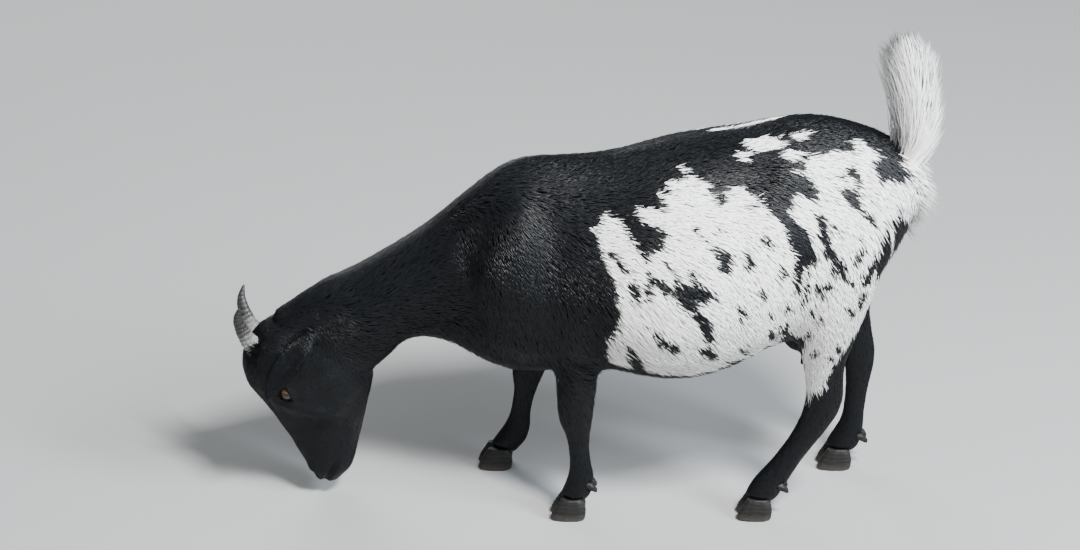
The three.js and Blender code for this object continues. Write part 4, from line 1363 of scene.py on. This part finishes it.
# %% Forelock and rump fringe
def loose_locks(name, chosen, lengths, aim, rise, girth, finish, count=900):
    """Locks that stand among the tufts, lengths (mm) long: they rise off the skin and fall along aim."""
    picked = rng.choice(np.nonzero(chosen)[0], count, replace=False)
    starts = roots[picked]
    _, up = field_slope(starts)
    lean = unit(aim[picked] + rng.normal(0, 0.16, (count, 3)))
    size = (rng.uniform(*lengths, count) * MM)[:, None]
    middles = starts + size * (0.45 * lean + rise * up)
    ends = starts + size * (lean + 0.6 * rise * up)
    points = strands(bent(starts - 0.8 * MM * up, middles, ends), girth * rng.uniform(0.7, 1.2, count), up)
    tilt = unit(points - points.mean(1, keepdims=True) + 1e-6)
    normals = unit(up[:, None] + 0.35 * tilt)
    white = whiteness_of(whiteness(starts))
    coat_piece(name, STRAND, points, normals, starts, (0, 0, 1), white, rng.random(count), finish)
    print(name, count, "locks")


flat = folded(roots)
x, y, z = flat.T
beside_horn = (line_gap(flat, HORN_ROOT) < 17.0) & (z > 198)
on_poll = (y < 14) & (x < -396) & (z > 205)
loose_locks("coat_forelock", beside_horn | on_poll, (8, 15), lie, 0.12, 0.5 * MM, coat_finish)
on_rump = (x > 378) & (y < 48) & (z > 372) & (z < 470) & (whiteness(roots) > 2.0)
downwards = unit((0.75, 0.0, -0.66)) + 0.3 * lie
loose_locks("coat_fringe", on_rump, (16, 30), downwards, 0.18, 0.75 * MM, plume_finish)

# %% [markdown]
# ## Eyelashes
# The upper lid carries a row of stiff lashes, which stand out from the face and turn up. They are the same
# strands once more, very thin, rooted along the almond's upper edge just under the lid's skin.

# %% Lashes
LASHES = 36
lash_roots, lash_bends, lash_tips = [], [], []
for centre, outward, length, upward in EYES.values():
    u = np.linspace(-0.85, 0.85, LASHES) * OPENING_HALF[0] + rng.normal(0, 0.2 * MM, LASHES)
    share = u / OPENING_HALF[0]
    v = almond(share) - droop(share) + 0.9 * MM
    out = np.sqrt(np.maximum(LID_RADIUS**2 - u**2 - v**2, 0.0)) - 0.8 * MM
    root = centre + out[:, None] * outward + u[:, None] * length + v[:, None] * upward
    reach = (rng.uniform(4.5, 7.0, LASHES) * MM)[:, None]
    away = unit(outward + 0.15 * upward + 0.35 * share[:, None] * length)
    lash_roots.append(root)
    lash_bends.append(root + away * 0.6 * reach)
    lash_tips.append(root + unit(away + 0.45 * upward) * reach)
lash_roots = np.concatenate(lash_roots)
path = bent(lash_roots, np.concatenate(lash_bends), np.concatenate(lash_tips))
count = len(lash_roots)
lash_up = np.repeat(np.array([axes[3] for axes in EYES.values()]), LASHES, axis=0)
lash_points = strands(path, np.full(count, 0.22 * MM), lash_up)
lash_normals = unit(lash_points - path.mean(1)[:, None] + 0.002 * lash_up[:, None])
coat_piece(
    "eyelashes", STRAND, lash_points, lash_normals, lash_roots, (0, 1, 0), np.zeros(count),
    rng.random(count), coat_finish,
)
print(count, "eyelashes")

# %% [markdown]
# ## Eyes
# A goat's iris is amber and its pupil is a level slot, which stays level while the head goes down to graze.
# Such an eye could be cut out as separate rings, but a drawn one has softer borders. The ball is a sphere
# whose front swells into a cornea. Two numbers at each point, how far it lies level and upright from the
# middle of the gaze, let the material draw slot, iris and dark rim.

# %% Iris and wet finish
IRIS_RADIUS = 8.0
SLOT_HALF = 3.6  # half length, in mm, of the pupil's straight part
SLOT_EDGE = (1.75, 2.15)  # where its dark ends and the iris begins


def hypotenuse(tree, a, b):
    return tree.math("SQRT", tree.math("ADD", tree.math("POWER", a, 2.0), tree.math("POWER", b, 2.0)))


inputs = [("Level", "Float", 0.0), ("Upright", "Float", 0.0), ("Iris radius", "Float", IRIS_RADIUS)]
g, given, out = new_group("iris", inputs, [("Color", "Color"), ("Height", "Float")])
radius = hypotenuse(g, given["Level"], given["Upright"])
angle = g.math("ARCTAN2", given["Upright"], given["Level"])
polar = {0: g.math("MULTIPLY", angle, 9.0), 1: g.math("MULTIPLY", radius, 0.5)}
spokes = g.noise(g.node("ShaderNodeCombineXYZ", polar).outputs[0], 2.2, 3.0)
amber = g.mix(g.spread(spokes, 0.3, 0.7), (0.030, 0.014, 0.006, 1.0), (0.105, 0.052, 0.020, 1.0))
share = g.math("DIVIDE", radius, given["Iris radius"])
amber = g.mix(g.spread(share, 0.72, 1.0), amber, (0.035, 0.018, 0.010, 1.0))
slot_x = g.math("SUBTRACT", g.math("ABSOLUTE", given["Level"]), SLOT_HALF)
slot_gap = hypotenuse(g, g.math("MAXIMUM", slot_x, 0.0), given["Upright"])
slot_mask = g.spread(slot_gap, *SLOT_EDGE)
g.link(g.mix(slot_mask, (0.004, 0.004, 0.006, 1.0), amber), out["Color"])
g.link(g.math("MULTIPLY", spokes, slot_mask), out["Height"])

eye_finish, shader = new_material("wet eye", {
    "Roughness": 0.25, "Specular IOR Level": 0.3, "Coat Weight": 0.35, "Coat Roughness": 0.03,
})
tree = Tree(eye_finish.node_tree)
iris = use_group(tree, "iris", {label: tree.attribute(label.lower()) for label in ("Level", "Upright")})
tree.link(iris["Color"], shader.inputs["Base Color"])
tree.bump(shader, iris["Height"], 0.15 * MM, 0.5)
print("iris", 2 * IRIS_RADIUS, "mm across")

# %% Eyeballs
CORNEA_SWELL, CORNEA_SIZE = 0.055, 0.17  # of a ball with a radius of one

for side, (centre, outward, length, upward) in EYES.items():
    bm = bmesh.new()
    bmesh.ops.create_uvsphere(bm, u_segments=56, v_segments=36, radius=1.0)
    mesh = bpy.data.meshes.new(f"eyeball_{side}")
    bm.to_mesh(mesh)
    bm.free()
    ball = read(mesh.vertices, "co", 3).astype(float)
    level = unit(np.cross(outward, (0.0, 0.0, 1.0)))
    plumb = np.cross(level, outward)
    away = np.clip(1.0 - ball[:, 2], 0.0, 1.0)
    size = EYE_RADIUS * (0.985 + CORNEA_SWELL * np.exp(-((away / CORNEA_SIZE) ** 2)))
    placed = centre + size[:, None] * (ball[:, :1] * level + ball[:, 1:2] * plumb + ball[:, 2:] * outward)
    reshape(mesh, placed)
    behind = np.where(ball[:, 2] < 0, 40.0, 0.0)  # keeps the pupil off the back of the ball
    write_points(mesh, level=ball[:, 0] * 12.5 + behind, upright=ball[:, 1] * 12.5)
    piece = add_piece(f"eyeball_{side}", mesh, eye_finish)
    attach(piece, "root")
    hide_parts(f"eye_{side}")
print(len(EYES), "eyeballs in place")

# %% [markdown]
# ## Horns and hooves
# Both are horn, the stuff of finger nails, and both grow in rings. A bump alone would vanish at the
# outline, so the rings are real: each solid is measured as a fine field, softened, and grooved by a wave
# that runs along the growth. The new piece takes the place of its node. A hoof's grooves fade out before
# the sole, which stays level, so the goat stands flat.

# %% Horn finish
inputs = [("Growth", "Float", 0.0), ("Tone", "Float", 0.0), ("Rings", "Float", 9.0)]
g, given, out = new_group("growth rings", inputs, [("Tone", "Float"), ("Height", "Float")])
place = g.node("ShaderNodeTexCoord").outputs["Object"]
wobble = g.noise(place, 90.0, 3.0)
phase = g.math("MULTIPLY_ADD", given["Growth"], given["Rings"], g.math("MULTIPLY", wobble, 1.6))
wave = g.math("SINE", g.math("MULTIPLY", phase, 6.283))
drawn_out = g.node("ShaderNodeVectorMath", {0: place, 1: (1500.0, 1500.0, 110.0)}, operation="MULTIPLY")
fibres = g.noise(drawn_out.outputs[0], 1.0, 2.0)
g.link(g.math("MULTIPLY_ADD", wave, 0.07, g.math("MULTIPLY_ADD", fibres, 0.5, given["Tone"])), out["Tone"])
g.link(g.math("MULTIPLY_ADD", fibres, 0.5, g.math("MULTIPLY", wave, 0.3)), out["Height"])


def horn_material(name, dark, pale, rings, roughness):
    material, shader = new_material(name, {"Roughness": roughness, "Specular IOR Level": 0.28})
    tree = Tree(material.node_tree)
    read_in = {"Growth": tree.attribute("growth"), "Tone": tree.attribute("tone"), "Rings": rings}
    effect = use_group(tree, "growth rings", read_in)
    tree.link(tree.mix(tree.spread(effect["Tone"], 0.1, 1.1), dark, pale), shader.inputs["Base Color"])
    tree.bump(shader, effect["Height"], 0.4 * MM, 0.7)
    return material


horn_finish = horn_material("horn", (0.016, 0.015, 0.0145, 1.0), (0.46, 0.45, 0.43, 1.0), 14.0, 0.42)
hoof_finish = horn_material("hoof", (0.006, 0.0055, 0.005, 1.0), (0.050, 0.043, 0.036, 1.0), 5.0, 0.55)
print("finishes:", horn_finish.name, "and", hoof_finish.name)


# %% Worked horn pieces
def worked_piece(node_name, name, spacing, soften, carve, finish, tone):
    """A finer piece over a node: its softened field with carve's grooves added."""
    low, high = (np.array(corner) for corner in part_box(node_name))
    low, high = low - 5 * MM, high + 5 * MM
    field = blurred(field_of([node_name], low, high, spacing, 6 * MM), soften)

    def form(points):
        return field.at(points) + carve(points)

    axes = [low[a] + spacing * np.arange(field.values.shape[a]) for a in range(3)]
    grid = np.stack(np.meshgrid(*axes, indexing="ij"), axis=-1).reshape(-1, 3)
    points, quads = surface(Field(low, spacing, form(grid).astype(np.float32).reshape(field.values.shape)))
    mesh = bpy.data.meshes.new(name)
    mesh.from_pydata(points, [], quads)
    edges = read(mesh.edges, "vertices", 2, np.int32)
    points = settle(points.astype(float), edges, 2, form, slide=1 * MM)
    reshape(mesh, points)
    growth, shade = tone(points)
    write_points(mesh, growth=growth, tone=shade)
    piece = add_piece(name, mesh, finish)
    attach(piece, "root")
    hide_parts(node_name)
    return len(quads)


# %% Horns
HORN_LINE = [(-407, 17, 200), (-421, 20, 219), (-431, 25, 240), (-435, 31, 258), (-431, 37, 275)]
HORN_LENGTH = 83.0  # along the line, in mm
HORN_RING_GAP = 5.2
HORN_GROOVE = 0.28 * MM


def horn_place(points):
    """How far up the horn a point lies, from 0 to 1."""
    flat = np.abs(points) * (-1000.0, 1000.0, 1000.0)
    found = [segment_distance(flat, a, b) for a, b in zip(HORN_LINE, HORN_LINE[1:])]
    nearest = np.argmin([gap for gap, _ in found], axis=0)
    share = np.stack([t for _, t in found])[nearest, np.arange(len(flat))]
    return (nearest + share) / (len(HORN_LINE) - 1)


def horn_carve(points):
    up = horn_place(points)
    wave = np.sin(up * HORN_LENGTH / HORN_RING_GAP * 2 * np.pi + 0.8 * np.sin(points[:, 1] * 400.0))
    return HORN_GROOVE * (0.4 - wave) * smoothstep(0.8, 0.3, up)


def horn_tone(points):
    """Growth and tone for the finish: pale at the foot, dark from half way up."""
    up = horn_place(points)
    return up, 0.48 - 0.58 * smoothstep(0.12, 0.58, up)


for side in SIDES:
    faces = worked_piece(
        f"horn_{side}", f"horn_sheath_{side}", 1.1 * MM, 1.0 * MM, horn_carve, horn_finish, horn_tone
    )
    print("horn", side, "has", faces, "faces")


# %% Hooves and dewclaws
HOOF_RING_GAP = 4.6 * MM
HOOF_GROOVE = 0.16 * MM
HOOF_HEIGHT = 0.030


def hoof_carve(points):
    wave = np.sin(points[:, 2] / HOOF_RING_GAP * 2 * np.pi + 1.1 * np.sin(points[:, 0] * 260.0))
    return HOOF_GROOVE * (0.3 - wave) * smoothstep(2 * MM, 6 * MM, points[:, 2])


def hoof_tone(points):
    rise = points[:, 2] / HOOF_HEIGHT
    return rise, 0.55 * smoothstep(0.45, 0.0, rise)


def dewclaw_tone(points):
    return points[:, 2] / HOOF_HEIGHT, np.full(len(points), -0.05)


# start of the node's name: start of the piece's name, grid spacing, softening and tone
HOOF_KINDS = {
    "hoof_": ("claw_", 1.3 * MM, 1.1 * MM, hoof_tone),
    "dewclaw_": ("dewhoof_", 1.1 * MM, 0.9 * MM, dewclaw_tone),
}
for name in sorted(nodes):
    for start, (label, spacing, soften, tone) in HOOF_KINDS.items():
        if name.startswith(start):
            label = name.replace(start, label)
            worked_piece(name, label, spacing, soften, hoof_carve, hoof_finish, tone)
print("claws and dewclaws worked")

# %% [markdown]
# ## Sizes
# Both boxes, the imported model's and the dressed goat's, are printed side by side. The dressed goat has to
# stay inside the imported model's box.

# %% Finish
VISUAL_BOX = [list(corner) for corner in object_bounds()]
for label, box in (("solids", CAD_BOX), ("dressed", VISUAL_BOX)):
    print(label, "from", box[0], "to", box[1])
